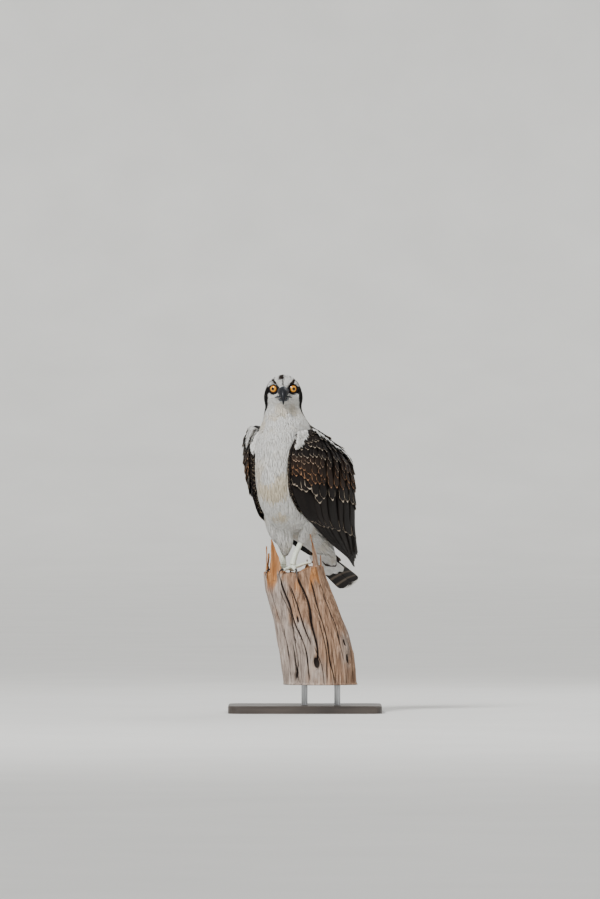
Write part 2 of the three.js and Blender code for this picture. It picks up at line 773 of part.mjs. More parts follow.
function claw(leg, name, margin) {
  const route = toePath(leg, name);
  const [ex, ey, ez] = route[3];
  const [bx, by] = route[0];
  const reach = Math.hypot(ex - bx, ey - by);
  const ux = (ex - bx) / reach;
  const uy = (ey - by) / reach;
  const start = TOE_TIP_RADIUS * 0.6;
  const at = (out, drop) => [ex + ux * out, ey + uy * out, ez - drop];
  const curve = [
    at(start, -1), at(start + 0.42 * CLAW_LENGTH, 1.5), at(start + 0.56 * CLAW_LENGTH, 11),
    at(start + 0.44 * CLAW_LENGTH, 18),
  ];
  const radius = (u) => mix(CLAW_RADIUS, 0.35, u ** 0.9) + margin;
  return taperedBar(curve, (u) => [radius(u), radius(u)], { sides: 6, steps: 5, up: [uy, -ux, 0] });
}

function footPad(leg, margin) {
  const pad = new THREE.SphereGeometry(1, 10, 6);
  pad.scale(9 + margin, 9 + margin, 6.6 + margin);
  return pad.translate(leg.foot[0], leg.foot[1], 8);
}

const TOE_NAMES = Object.keys(LEGS.left.toes);

function footForms(leg, margin) {
  return [footPad(leg, margin), ...TOE_NAMES.map((name) => toe(leg, name, margin))];
}

function clawForms(leg, margin) {
  return TOE_NAMES.map((name) => claw(leg, name, margin));
}

function buildLeg(name, leg, trunkSpace) {
  const shank = solid(tarsus(leg, 0));
  const shankSpace = solid(tarsus(leg, GAP));
  const drumstick = solid(thigh(leg, 0)).subtract(trunkSpace).subtract(shankSpace);
  const foot = joined(footForms(leg, 0)).subtract(shankSpace);
  const footSpace = joined(footForms(leg, GAP));
  const pieces = [
    part("thigh_" + name, geometryOf(drumstick), WHITE_PLUMAGE),
    part("tarsus_" + name, geometryOf(shank), FOOT_SKIN),
    part("foot_" + name, geometryOf(foot), FOOT_SKIN),
  ];
  TOE_NAMES.forEach((toeName) => {
    const horn = solid(claw(leg, toeName, 0)).subtract(footSpace);
    pieces.push(part("claw_" + name + "_" + toeName, geometryOf(horn), CLAW_HORN));
  });
  return pieces;
}

// Perch: the broken top of a dead trunk, with upright splinters round its rim

const PERCH_BOTTOM = BASE_THICKNESS + ROD_LENGTH;
const PERCH_Y = BODY_Y + 15;
const perchX = profile([
  [-PERCH_LENGTH, 31], [-160, 24], [-95, 8], [-29, -15], [0, -21.5],
]);
const perchRadius = profile([
  [-PERCH_LENGTH, 73], [-160, 74], [-130, 73.5], [-95, 70], [-29, 65], [0, 61],
]);
const PERCH_SIDES = 30;
const PERCH_RINGS = 7;
const CRACKS = [
  [-1.75, 4], [-1.42, 5], [-1.05, 3.5], [-2.3, 4], [-0.3, 4], [0.6, 4], [1.4, 5], [2.4, 4],
];
// Splinters: angle round the rim, width, thickness, height, lean of the tip along X and Y
const SPLINTERS = [
  { turn: 195, width: 17, thick: 9, height: 53, lean: [0, 2] },
  { turn: 228, width: 40, thick: 11, height: 66, lean: [-8, 4] },
  { turn: 327, width: 26, thick: 12, height: 75, lean: [-14, 4] },
  { turn: 12, width: 22, thick: 10, height: 34, lean: [-2, 0] },
  { turn: 62, width: 24, thick: 10, height: 26, lean: [0, -2] },
  { turn: 118, width: 26, thick: 10, height: 30, lean: [2, -3] },
  { turn: 160, width: 20, thick: 9, height: 38, lean: [3, 0] },
];

function perchWall(height, turn) {
  const crack = CRACKS.reduce((sum, [place, depth]) => {
    const away = Math.atan2(Math.sin(turn - place), Math.cos(turn - place));
    return sum + depth * Math.exp(-((away / 0.07) ** 2));
  }, 0);
  const ridges = 1.6 * Math.sin(5 * turn + height / 70) + 1.1 * Math.sin(11 * turn - height / 45);
  return perchRadius(height) + ridges - crack;
}

function perchTop(x, y) {
  const rise = 12 * smooth(4, 34, x);
  const grain = 1.3 * Math.sin(x / 5.3 + y / 17) + 0.9 * Math.sin(x / 2.7 - y / 11);
  return rise + grain - 1.2;
}

function perchForm() {
  const rings = [];
  for (let r = 0; r <= PERCH_RINGS; r++) {
    const height = mix(-PERCH_LENGTH, -6, r / PERCH_RINGS);
    rings.push(
      Array.from({ length: PERCH_SIDES }, (_, k) => {
        const turn = (2 * Math.PI * k) / PERCH_SIDES;
        const radius = perchWall(height, turn);
        return new THREE.Vector3(
          perchX(height) + radius * Math.cos(turn), radius * Math.sin(turn), height,
        );
      }),
    );
  }
  for (const share of [0.97, 0.72, 0.44, 0.16]) {
    rings.push(
      Array.from({ length: PERCH_SIDES }, (_, k) => {
        const turn = (2 * Math.PI * k) / PERCH_SIDES;
        const radius = share * perchWall(0, turn);
        const x = radius * Math.cos(turn);
        const y = radius * Math.sin(turn);
        return new THREE.Vector3(perchX(0) + x, y, perchTop(x, y));
      }),
    );
  }
  return loft(rings);
}

function splinter({ turn, width, thick, height, lean }) {
  const angle = THREE.MathUtils.degToRad(turn);
  const out = new THREE.Vector3(Math.cos(angle), Math.sin(angle), 0);
  const side = new THREE.Vector3(-out.y, out.x, 0);
  const rim = perchRadius(0) - thick * 0.62;
  const steps = 5;
  const rows = [];
  for (let i = 0; i <= steps; i++) {
    const up = i / steps;
    const half = (width / 2) * mix(1, 0.1, up ** 1.3);
    const depth = (thick / 2) * mix(1, 0.2, up);
    const level = mix(-16, height, up);
    const sway = new THREE.Vector3(lean[0], lean[1], 0).multiplyScalar(up * up);
    const row = [];
    for (const across of [-1, -0.3, 0.4, 1]) {
      const notch = across === 0.4 ? -0.12 * height * up : 0;
      const bulge = 1 - 0.35 * across * across;
      const bow = rim * (Math.cos((half * across) / rim) - 1);
      const centre = out
        .clone()
        .multiplyScalar(rim + bow)
        .addScaledVector(side, half * across)
        .add(sway)
        .add(new THREE.Vector3(perchX(0), 0, level + notch));
      row.push([
        centre.clone().addScaledVector(out, depth * bulge),
        centre.clone().addScaledVector(out, -depth * bulge),
      ]);
    }
    rows.push(row);
  }
  return sheet(rows);
}

function buildPerch(birdPlace) {
  const wood = joined([perchForm(), ...SPLINTERS.map(splinter)]);
  const place = new THREE.Matrix4().makeTranslation(0, PERCH_Y, FOOT_LEVEL);
  const toPerch = place.clone().invert().multiply(birdPlace);
  const grips = Object.values(LEGS).flatMap((leg) => [
    ...footForms(leg, GAP), ...clawForms(leg, GAP),
  ]);
  const space = joined(grips.map((geometry) => geometry.applyMatrix4(toPerch)));
  const mesh = part("perch", geometryOf(wood.subtract(space)), DEAD_WOOD);
  mesh.position.set(0, PERCH_Y, FOOT_LEVEL);
  return mesh;
}

// Display stand

function standBase() {
  const halfWidth = BASE_WIDTH / 2 - BASE_BEVEL;
  const halfDepth = BASE_DEPTH / 2 - BASE_BEVEL;
  const outline = new THREE.Shape();
  const corners = [[1, -1], [1, 1], [-1, 1], [-1, -1]];
  corners.forEach(([sx, sy], i) => {
    const start = -Math.PI / 2 + (i * Math.PI) / 2;
    const cx = sx * (halfWidth - BASE_CORNER);
    const cy = sy * (halfDepth - BASE_CORNER);
    outline.absarc(cx, cy, BASE_CORNER, start, start + Math.PI / 2, false);
  });
  const plate = new THREE.ExtrudeGeometry(outline, {
    depth: BASE_THICKNESS - BASE_BEVEL,
    bevelThickness: BASE_BEVEL,
    bevelSize: BASE_BEVEL,
    bevelSegments: 1,
    curveSegments: 4,
  });
  const body = solid(plate);
  const below = new THREE.BoxGeometry(2 * BASE_WIDTH, 2 * BASE_DEPTH, 20).translate(0, 0, -10);
  return part("stand_base", geometryOf(body.subtract(solid(below))), STAND_WOOD);
}

function standRod(name, offset) {
  const length = ROD_LENGTH - 2 * GAP;
  const rod = new THREE.CylinderGeometry(ROD_RADIUS, ROD_RADIUS, length, 20);
  rod.rotateX(Math.PI / 2);
  const mesh = part(name, rod, STAND_STEEL);
  mesh.position.set(perchX(-PERCH_LENGTH) + offset, PERCH_Y, BASE_THICKNESS + ROD_LENGTH / 2);
  return mesh;
}

// Assembly

const model = new THREE.Group();
const bird = new THREE.Group();
bird.position.set(BODY_X, BODY_Y, FOOT_LEVEL);
bird.rotation.z = -BODY_TURN;
bird.updateMatrix();
model.add(bird);

const head = new THREE.Group();
head.position.set(HEAD_CENTRE[0], HEAD_CENTRE[1], 0);
head.rotation.z = BODY_TURN;
head.add(...buildHead());
bird.add(head);

const trunkSpace = bodySpace();
const thighSpaces = Object.values(LEGS).map((leg) => solid(thigh(leg, GAP)));
bird.add(part("torso", torso(), WHITE_PLUMAGE));
bird.add(part("neck", neck(), WHITE_PLUMAGE));
for (const [name, leg] of Object.entries(LEGS)) {
  bird.add(...buildLeg(name, leg, trunkSpace));
}
for (const side of [1, -1]) {
  bird.add(buildWing(side, [trunkSpace, ...thighSpaces]));
}
bird.add(buildTail(trunkSpace));

model.add(buildPerch(bird.matrix));
model.add(standBase());
model.add(standRod("stand_rod_left", -32));
model.add(standRod("stand_rod_right", 32));

export default model;
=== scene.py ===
"""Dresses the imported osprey: skin, feathers, eyes, bill, feet, snag and stand, in one frame.

Lengths are millimetres above the bird's soles until to_world turns them into metres.
"""
import math
from collections import namedtuple

import bpy
import numpy as np
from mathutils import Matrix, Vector
from mathutils.bvhtree import BVHTree
from mathutils.kdtree import KDTree


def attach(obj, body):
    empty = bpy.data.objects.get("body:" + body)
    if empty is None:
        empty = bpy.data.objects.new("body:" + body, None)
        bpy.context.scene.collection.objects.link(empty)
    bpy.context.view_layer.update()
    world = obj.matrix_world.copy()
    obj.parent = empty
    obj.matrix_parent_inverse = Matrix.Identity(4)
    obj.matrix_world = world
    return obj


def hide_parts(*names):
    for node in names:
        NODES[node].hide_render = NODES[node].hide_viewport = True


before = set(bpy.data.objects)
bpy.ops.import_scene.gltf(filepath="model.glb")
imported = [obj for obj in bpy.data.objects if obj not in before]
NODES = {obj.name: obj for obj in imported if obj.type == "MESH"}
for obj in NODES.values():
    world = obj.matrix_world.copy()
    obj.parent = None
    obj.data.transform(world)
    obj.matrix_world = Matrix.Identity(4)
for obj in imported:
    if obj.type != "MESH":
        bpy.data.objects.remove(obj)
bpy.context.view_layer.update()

# Sizes shared with the solids
FOOT_LEVEL = 275
BODY_TURN = math.radians(27)
BODY_PLACE = np.array([-35.0, -42.0, FOOT_LEVEL])
HEAD_CENTRE = np.array([-1.5, -13.0])
NECK_CUT = 286
HEAD_CUT = 316
CROWN = 386
PERCH_PLACE = np.array([0.0, -27.0, FOOT_LEVEL])
PERCH_LENGTH = 220
MILLIMETRE = 0.001

# The eyes in the head's own frame, and how far the lids open and the brow lowers them

EYE_RADIUS = 10.2
EYE_CENTRE = np.array([16.6, -15.5, 357.0])
EYE_TURN = math.radians(22)
EYE_OPENING = 7.5
BROW_SQUEEZE = 1.2

# Helpers


def clamp01(value):
    return np.clip(value, 0.0, 1.0)


def smooth(start, end, value):
    part = clamp01((np.asarray(value, float) - start) / (end - start))
    return part * part * (3 - 2 * part)


def mix(start, end, part):
    return start + (end - start) * part


def unit(vectors):
    length = np.linalg.norm(vectors, axis=-1, keepdims=True)
    return vectors / np.maximum(length, 1e-9)


def turned(points, angle):
    c, s = math.cos(angle), math.sin(angle)
    out = np.array(points, float)
    x, y = out[..., 0].copy(), out[..., 1].copy()
    out[..., 0] = x * c - y * s
    out[..., 1] = x * s + y * c
    return out


def to_world(points):
    """Bird frame in millimetres to the shared frame in metres."""
    return (turned(points, -BODY_TURN) + BODY_PLACE) * MILLIMETRE


def from_world(points):
    return turned(np.asarray(points) * 1000 - BODY_PLACE, BODY_TURN)


def head_to_bird(points):
    out = turned(points, BODY_TURN)
    out[..., :2] += HEAD_CENTRE
    return out


def bird_to_head(points):
    out = np.array(points, float)
    out[..., :2] -= HEAD_CENTRE
    return turned(out, -BODY_TURN)


def profile(stations):
    """A smooth value along stations of (key, value), flat past the ends."""
    keys = np.array([s[0] for s in stations], float)
    values = np.array([s[1] for s in stations], float)
    before = np.maximum(np.arange(len(keys)) - 1, 0)
    after = np.minimum(np.arange(len(keys)) + 1, len(keys) - 1)
    slopes = (values[after] - values[before]) / (keys[after] - keys[before])

    def value(key):
        key = np.clip(np.asarray(key, float), keys[0], keys[-1])
        i = np.clip(np.searchsorted(keys, key, side="right") - 1, 0, len(keys) - 2)
        span = keys[i + 1] - keys[i]
        u = (key - keys[i]) / span
        return (
            (1 + 2 * u) * (1 - u) ** 2 * values[i]
            + u * (1 - u) ** 2 * span * slopes[i]
            + u * u * (3 - 2 * u) * values[i + 1]
            + u * u * (u - 1) * span * slopes[i + 1]
        )

    return value


def spline(points, t):
    """Points at shares t of a centripetal spline. points may be arrays of like shape."""
    points = [np.asarray(p, float) for p in points]
    points = [2 * points[0] - points[1]] + points + [2 * points[-1] - points[-2]]
    stack = np.stack(points)
    spans = len(points) - 3
    place = clamp01(t) * spans
    i = np.minimum(place.astype(int), spans - 1)
    u = place - i
    if stack.ndim == 2:
        p0, p1, p2, p3 = stack[i], stack[i + 1], stack[i + 2], stack[i + 3]
    else:
        rows = np.arange(stack.shape[1])[:, None]
        p0, p1, p2, p3 = (stack[i[None, :] + k, rows] for k in range(4))
        u = u[None, :]
    d0, d1, d2 = (
        np.maximum(np.linalg.norm(b - a, axis=-1) ** 0.5, 1e-4)[..., None]
        for a, b in ((p0, p1), (p1, p2), (p2, p3))
    )
    m1 = ((p1 - p0) / d0 - (p2 - p0) / (d0 + d1) + (p2 - p1) / d1) * d1
    m2 = ((p2 - p1) / d1 - (p3 - p1) / (d1 + d2) + (p3 - p2) / d2) * d1
    u = u[..., None]
    c2 = -3 * p1 + 3 * p2 - 2 * m1 - m2
    c3 = 2 * p1 - 2 * p2 + m1 + m2
    return p1 + m1 * u + c2 * u * u + c3 * u ** 3


def noise(points, scale, seed=0):
    """Smooth value noise from 0 to 1 over points, with features about scale across."""
    place = np.asarray(points, float) / scale + 37.0 * seed
    cell = np.floor(place).astype(np.int64)
    part = place - cell
    part = part * part * (3 - 2 * part)
    total = np.zeros(place.shape[:-1])
    for corner in range(8):
        step = np.array([corner & 1, corner >> 1 & 1, corner >> 2 & 1])
        at = cell + step
        mixed = at[..., 0] * 374761393 + at[..., 1] * 668265263 + at[..., 2] * 2147483647
        mixed = (mixed ^ (mixed >> 13)) * 1274126177
        value = ((mixed ^ (mixed >> 16)) & 0xFFFF) / 65535.0
        total += value * np.prod(np.where(step, part, 1 - part), axis=-1)
    return total


def new_mesh(name, points, faces):
    """An object from arrays: points in metres, faces of equal size."""
    mesh = bpy.data.meshes.new(name)
    faces = np.asarray(faces, np.int32)
    count, corners = faces.shape
    mesh.vertices.add(len(points))
    mesh.vertices.foreach_set("co", np.asarray(points, np.float32).ravel())
    mesh.loops.add(count * corners)
    mesh.loops.foreach_set("vertex_index", faces.ravel())
    mesh.polygons.add(count)
    mesh.polygons.foreach_set("loop_start", np.arange(0, count * corners, corners, dtype=np.int32))
    mesh.update(calc_edges=True)
    mesh.validate()
    mesh.polygons.foreach_set("use_smooth", np.ones(len(mesh.polygons), bool))
    obj = bpy.data.objects.new(name, mesh)
    bpy.context.scene.collection.objects.link(obj)
    return obj


def set_colour(obj, name, colours):
    data = np.ones((len(colours), 4), np.float32)
    data[:, : colours.shape[1]] = colours
    layer = obj.data.color_attributes.new(name, "FLOAT_COLOR", "POINT")
    layer.data.foreach_set("color", data.ravel())


def set_vector(obj, name, vectors):
    layer = obj.data.attributes.new(name, "FLOAT_VECTOR", "POINT")
    layer.data.foreach_set("vector", np.asarray(vectors, np.float32).ravel())


def corner_points(obj):
    index = np.empty(len(obj.data.loops), np.int32)
    obj.data.loops.foreach_get("vertex_index", index)
    return index


def set_uv(obj, per_point):
    """The bake map, with faces that cross the seam of the turn carried past it."""
    index = corner_points(obj)
    uv = np.asarray(per_point, np.float32)[index]
    starts = np.empty(len(obj.data.polygons), np.int32)
    obj.data.polygons.foreach_get("loop_start", starts)
    low = np.minimum.reduceat(uv[:, 0], starts)
    high = np.maximum.reduceat(uv[:, 0], starts)
    totals = np.diff(np.append(starts, len(uv)))
    crossing = np.repeat(high - low > 0.3, totals)
    uv[crossing & (uv[:, 0] < 0.35), 0] += SKIN_WIDTH
    layer = obj.data.uv_layers.new(name="OFBake")
    layer.data.foreach_set("uv", uv.ravel())


def mesh_points(obj):
    out = np.empty(len(obj.data.vertices) * 3, np.float32)
    obj.data.vertices.foreach_get("co", out)
    return out.reshape(-1, 3).astype(float)


def mesh_normals(obj):
    out = np.empty(len(obj.data.vertices) * 3, np.float32)
    obj.data.vertex_normals.foreach_get("vector", out)
    return out.reshape(-1, 3)


def mesh_triangles(obj):
    obj.data.calc_loop_triangles()
    out = np.empty(len(obj.data.loop_triangles) * 3, np.int32)
    obj.data.loop_triangles.foreach_get("vertices", out)
    return out.reshape(-1, 3)


def tree_over(obj):
    """A search tree over a piece's triangles, in bird millimetres."""
    return BVHTree.FromPolygons(from_world(mesh_points(obj)).tolist(), mesh_triangles(obj).tolist())


def dress(obj, material, slot, *nodes):
    """Gives a piece its material and body, in place of the solids named."""
    obj.data.materials.append(material)
    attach(obj, "root")
    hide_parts(*nodes)


def set_points(obj, points):
    obj.data.vertices.foreach_set("co", np.asarray(points, np.float32).ravel())
    obj.data.update()


def applied(obj, *modifiers):
    """Adds modifiers given as (kind, settings) and bakes them into the mesh."""
    for kind, settings in modifiers:
        modifier = obj.modifiers.new(kind, kind)
        for key, value in settings.items():
            setattr(modifier, key, value)
    graph = bpy.context.evaluated_depsgraph_get()
    graph.update()
    mesh = bpy.data.meshes.new_from_object(obj.evaluated_get(graph))
    obj.modifiers.clear()
    old = obj.data
    obj.data = mesh
    bpy.data.meshes.remove(old)
    obj.data.polygons.foreach_set("use_smooth", np.ones(len(obj.data.polygons), bool))
    return obj


def joined_mesh(name, parts):
    """One object from parts given as (points in metres, faces)."""
    starts = np.cumsum([0] + [len(points) for points, _ in parts])
    faces = [faces + start for (_, faces), start in zip(parts, starts)]
    return new_mesh(name, np.concatenate([points for points, _ in parts]), np.concatenate(faces))


def smooth_copy(name, nodes, voxel, rounds):
    """One closed skin over copies of CAD nodes, with their facets smoothed away."""
    solids = [NODES[node] for node in nodes]
    obj = joined_mesh(name, [(mesh_points(s), corner_points(s).reshape(-1, 3)) for s in solids])
    return applied(
        obj,
        ("REMESH", {"mode": "VOXEL", "voxel_size": voxel}),
        ("SMOOTH", {"factor": 0.5, "iterations": rounds}),
    )


def grid_faces(grid):
    """Four-cornered faces over a grid of point numbers."""
    return np.stack([grid[:-1, :-1], grid[:-1, 1:], grid[1:, 1:], grid[1:, :-1]], -1).reshape(-1, 4)


def tube(rings):
    """Points and four-cornered faces of a tube of rings, its ends drawn to a point."""
    rings = np.asarray(rings, float)
    ends = [rings[:1].mean(axis=1, keepdims=True), rings[-1:].mean(axis=1, keepdims=True)]
    sides = rings.shape[1]
    caps = [np.repeat(end, sides, axis=1) for end in ends]
    rings = np.concatenate([caps[0], rings, caps[1]])
    r = np.arange(len(rings) - 1)[:, None] * sides
    k = np.arange(sides)[None, :]
    n = (k + 1) % sides
    faces = np.stack([r + k, r + n, r + sides + n, r + sides + k], axis=-1)
    return rings.reshape(-1, 3), faces.reshape(-1, 4)


# Materials


class Look:
    """A node material built a step at a time."""

    def __init__(self, name, **values):
        self.material = bpy.data.materials.new(name)
        self.material.use_nodes = True
        self.tree = self.material.node_tree
        self.shader = self.tree.nodes["Principled BSDF"]
        for key, value in values.items():
            self.shader.inputs[key.replace("_", " ")].default_value = value

    def node(self, kind, **settings):
        node = self.tree.nodes.new(kind)
        for key, value in settings.items():
            setattr(node, key, value)
        return node

    def put(self, socket, value):
        if isinstance(value, bpy.types.NodeSocket):
            self.tree.links.new(value, socket)
        else:
            socket.default_value = value

    def attribute(self, name):
        return self.node("ShaderNodeAttribute", attribute_name=name)

    def math(self, operation, a, b=0.0, c=0.0):
        node = self.node("ShaderNodeMath", operation=operation)
        for socket, value in zip(node.inputs, (a, b, c)):
            self.put(socket, value)
        return node.outputs[0]

    def split(self, vector):
        node = self.node("ShaderNodeSeparateXYZ")
        self.put(node.inputs[0], vector)
        return node.outputs

    def band(self, value, low, high):
        """0 below low, 1 above high."""
        node = self.node("ShaderNodeMapRange", interpolation_type="SMOOTHSTEP")
        for name, given in (("Value", value), ("From Min", low), ("From Max", high)):
            self.put(node.inputs[name], given)
        return node.outputs["Result"]

    def texture(self, scale, stretch=(1, 1, 1), detail=4.0, rough=0.55, warp=0.0):
        coord = self.node("ShaderNodeTexCoord").outputs["Object"]
        place = self.node("ShaderNodeMapping")
        self.put(place.inputs["Vector"], coord)
        self.put(place.inputs["Scale"], stretch)
        node = self.node("ShaderNodeTexNoise")
        self.put(node.inputs["Vector"], place.outputs[0])
        for name, given in (("Scale", scale), ("Detail", detail), ("Roughness", rough),
                            ("Distortion", warp)):
            node.inputs[name].default_value = given
        return node.outputs["Fac"]

    def blend(self, part, a, b, kind="MIX"):
        node = self.node("ShaderNodeMix", data_type="RGBA", blend_type=kind)
        self.put(node.inputs[0], part)
        self.put(node.inputs[6], a)
        self.put(node.inputs[7], b)
        return node.outputs[2]

    def ramp(self, value, stops):
        node = self.node("ShaderNodeValToRGB")
        self.put(node.inputs[0], value)
        stop_list = node.color_ramp.elements
        while len(stop_list) < len(stops):
            stop_list.new(0.5)
        for element, (place, colour) in zip(stop_list, stops):
            element.position = place
            element.color = (*colour, 1)
        return node.outputs[0]

    def bump(self, height, distance, strength=1.0):
        node = self.node("ShaderNodeBump")
        self.put(node.inputs["Height"], height)
        node.inputs["Distance"].default_value = distance
        node.inputs["Strength"].default_value = strength
        self.put(self.shader.inputs["Normal"], node.outputs[0])

    def colour(self, socket):
        self.put(self.shader.inputs["Base Color"], socket)

    def rough(self, socket):
        self.put(self.shader.inputs["Roughness"], socket)


def feather_look(name, roughness, gloss, soft, barbs, relief):
    """Feathers take their colour from their own attributes: tint, and edge at tip and sides."""
    look = Look(
        name, Roughness=roughness, Specular_IOR_Level=gloss, Subsurface_Weight=soft,
        Subsurface_Radius=(0.006, 0.005, 0.004), Subsurface_Scale=1.0)
    tint = look.attribute("tint")
    edge = look.attribute("edge")
    along, beside, length = look.split(look.attribute("rim").outputs["Vector"])
    fray = look.texture(900, detail=2.0)
    border = look.math("MULTIPLY", edge.outputs["Alpha"], 10.0)
    inward = look.math("MULTIPLY_ADD", look.math("DIVIDE", along, length), 9.0, -1.2)
    inward = look.math("ADD", look.math("MULTIPLY", beside, 2.2), look.math("MAXIMUM", inward, 0.35))
    near = look.math("MINIMUM", along, inward)
    near = look.math("MULTIPLY_ADD", look.math("SUBTRACT", fray, 0.5), 1.2, near)
    reach = look.band(look.math("DIVIDE", near, look.math("MAXIMUM", border, 0.05)), 1.0, 0.55)
    streak = look.texture(260, (1, 1, 0.35), 3.0)
    base = look.blend(0.5, tint.outputs["Color"], look.ramp(
        streak, [(0.3, (0.8, 0.78, 0.76)), (0.6, (1, 1, 1))]), "MULTIPLY")
    look.colour(look.blend(reach, base, edge.outputs["Color"]))
    slant = look.math("MULTIPLY_ADD", beside, barbs, look.math("MULTIPLY", along, barbs))
    ridges = look.math("SINE", slant)
    look.bump(look.math("MULTIPLY_ADD", streak, 1.5, ridges), 0.0002, relief)
    return look.material


def skin_look():
    look = Look("plumage_base", Roughness=0.9)
    tint = look.attribute("tint")
    mottle = look.texture(400, detail=5.0)
    shade = look.ramp(mottle, [(0.3, (0.55, 0.52, 0.5)), (0.7, (1, 1, 1))])
    look.colour(look.blend(0.6, tint.outputs["Color"], shade, "MULTIPLY"))
    look.bump(mottle, 0.0006)
    return look.material


def bill_look():
    look = Look("bill_horn", Roughness=0.5, Coat_Weight=0.08, Specular_IOR_Level=0.18)
    place = look.attribute("tint")
    mottle = look.texture(300, detail=5.0)
    shade = look.ramp(mottle, [(0.35, (0.7, 0.72, 0.75)), (0.7, (1.2, 1.15, 1.1))])
    look.colour(look.blend(0.7, place.outputs["Color"], shade, "MULTIPLY"))
    look.rough(look.band(mottle, -0.9, 1.8))
    look.bump(look.texture(700, (1, 1, 0.3), 3.0), 0.0002, 0.4)
    return look.material


def claw_look():
    look = Look("claw_horn", Roughness=0.3, Coat_Weight=0.3)
    mottle = look.texture(220, (1, 1, 0.4))
    look.colour(look.ramp(mottle, [(0.3, (0.006, 0.006, 0.007)), (0.75, (0.035, 0.033, 0.035))]))
    look.bump(mottle, 0.0002, 0.4)
    return look.material


def foot_look():
    look = Look(
        "foot_skin", Roughness=0.55, Subsurface_Weight=0.08, Subsurface_Radius=(0.004, 0.003, 0.002))
    coord = look.node("ShaderNodeTexCoord").outputs["Object"]
    scales = look.node("ShaderNodeTexVoronoi", feature="DISTANCE_TO_EDGE")
    look.put(scales.inputs["Vector"], coord)
    scales.inputs["Scale"].default_value = 620
    mottle = look.texture(160, detail=5.0)
    edge = look.band(scales.outputs["Distance"], 0.0, 0.12)
    skin = look.ramp(mottle, [(0.3, (0.56, 0.6, 0.49)), (0.65, (0.76, 0.79, 0.69))])
    look.colour(look.blend(edge, (0.46, 0.48, 0.4, 1), skin))
    look.bump(edge, 0.0004, 0.5)
    return look.material


def eye_look():
    look = Look(
        "eye", Roughness=0.08, Coat_Weight=0.25, Coat_Roughness=0.02, Specular_IOR_Level=0.25)
    out, turn, side = look.split(look.attribute("gaze").outputs["Vector"])
    fibres = look.node("ShaderNodeTexNoise")
    spin = look.node("ShaderNodeCombineXYZ")
    look.put(spin.inputs[0], look.math("MULTIPLY", turn, 9.0))
    look.put(spin.inputs[1], look.math("MULTIPLY", side, 9.0))
    look.put(spin.inputs[2], look.math("MULTIPLY", out, 0.5))
    look.put(fibres.inputs["Vector"], spin.outputs[0])
    fibres.inputs["Scale"].default_value = 1.0
    stops = [
        (0.0, (0.001, 0.001, 0.001)), (0.25, (0.002, 0.001, 0.001)), (0.29, (0.14, 0.05, 0.004)),
        (0.34, (0.7, 0.34, 0.03)), (0.5, (0.66, 0.29, 0.018)), (0.61, (0.45, 0.15, 0.008)),
        (0.66, (0.06, 0.02, 0.003)), (0.7, (0.004, 0.003, 0.003)),
    ]
    iris = look.ramp(look.math("DIVIDE", out, EYE_RADIUS), stops)
    shade = look.ramp(fibres.outputs["Fac"], [(0.3, (0.72, 0.62, 0.5)), (0.7, (1.1, 1.05, 1.0))])
    look.colour(look.blend(0.6, iris, shade, "MULTIPLY"))
    return look.material


def wood_look():
    look = Look("dead_wood", Roughness=0.85, Specular_IOR_Level=0.2)
    marks = look.attribute("wood")
    crack_shade, fresh, grey = look.split(marks.outputs["Vector"])
    grain = look.texture(190, (1, 1, 0.07), 6.0, 0.65, 0.4)
    fine = look.texture(620, (1, 1, 0.05), 4.0, 0.6, 0.2)
    patches = look.texture(22, (1, 1, 0.5), 4.0)
    tan = look.ramp(grain, [
        (0.28, (0.05, 0.029, 0.019)), (0.44, (0.2, 0.118, 0.074)), (0.58, (0.34, 0.215, 0.14)),
        (0.75, (0.5, 0.35, 0.25)),
    ])
    silver = look.ramp(grain, [
        (0.28, (0.08, 0.06, 0.05)), (0.5, (0.28, 0.225, 0.19)), (0.72, (0.48, 0.41, 0.36)),
    ])
    orange = look.ramp(grain, [
        (0.28, (0.1, 0.036, 0.011)), (0.5, (0.3, 0.125, 0.042)), (0.72, (0.5, 0.27, 0.12)),
    ])
    weather = look.band(look.math("ADD", patches, look.math("MULTIPLY", grey, 0.3)), 0.58, 0.85)
    wood = look.blend(weather, tan, silver)
    wood = look.blend(look.band(fresh, 0.25, 0.75), wood, orange)
    lines = look.band(fine, 0.42, 0.3)
    wood = look.blend(look.math("MULTIPLY", lines, 0.6), wood, (0.07, 0.045, 0.033, 1))
    # Grooves and knot holes go near black: painted shade in the hollows.
    look.colour(look.blend(look.band(crack_shade, 0.2, 0.75), wood, (0.014, 0.009, 0.007, 1)))
    look.bump(look.math("ADD", grain, look.math("MULTIPLY", fine, 0.5)), 0.0016, 0.8)
    return look.material


def stand_look():
    look = Look("stand_wood", Roughness=0.45, Coat_Weight=0.15)
    grain = look.texture(60, (0.08, 1, 1), 6.0, 0.6, 0.6)
    look.colour(look.ramp(grain, [
        (0.3, (0.018, 0.013, 0.01)), (0.55, (0.04, 0.03, 0.024)), (0.75, (0.065, 0.05, 0.04)),
    ]))
    look.rough(look.band(grain, -0.6, 1.6))
    look.bump(grain, 0.0003, 0.4)
    return look.material


def steel_look():
    look = Look("stand_steel", Metallic=1.0, Roughness=0.35)
    brushed = look.texture(900, (1, 1, 0.03), 3.0)
    look.colour(look.ramp(brushed, [(0.3, (0.38, 0.39, 0.4)), (0.7, (0.55, 0.56, 0.57))]))
    look.bump(brushed, 0.0001, 0.3)
    return look.material


BODY_FEATHER = feather_look("body_feather", 0.85, 0.08, 0.35, 5.0, 0.3)
FLIGHT_FEATHER = feather_look("flight_feather", 0.6, 0.12, 0.0, 4.0, 0.22)
SKIN = skin_look()
BILL = bill_look()
CLAW = claw_look()
FOOT = foot_look()
EYE = eye_look()
WOOD = wood_look()
STAND_LOOKS = {
    "stand_base": stand_look(),
    "stand_rod_left": steel_look(),
    "stand_rod_right": steel_look(),
}


# The trunk of the bird, from the undertail coverts to the crown: level slices

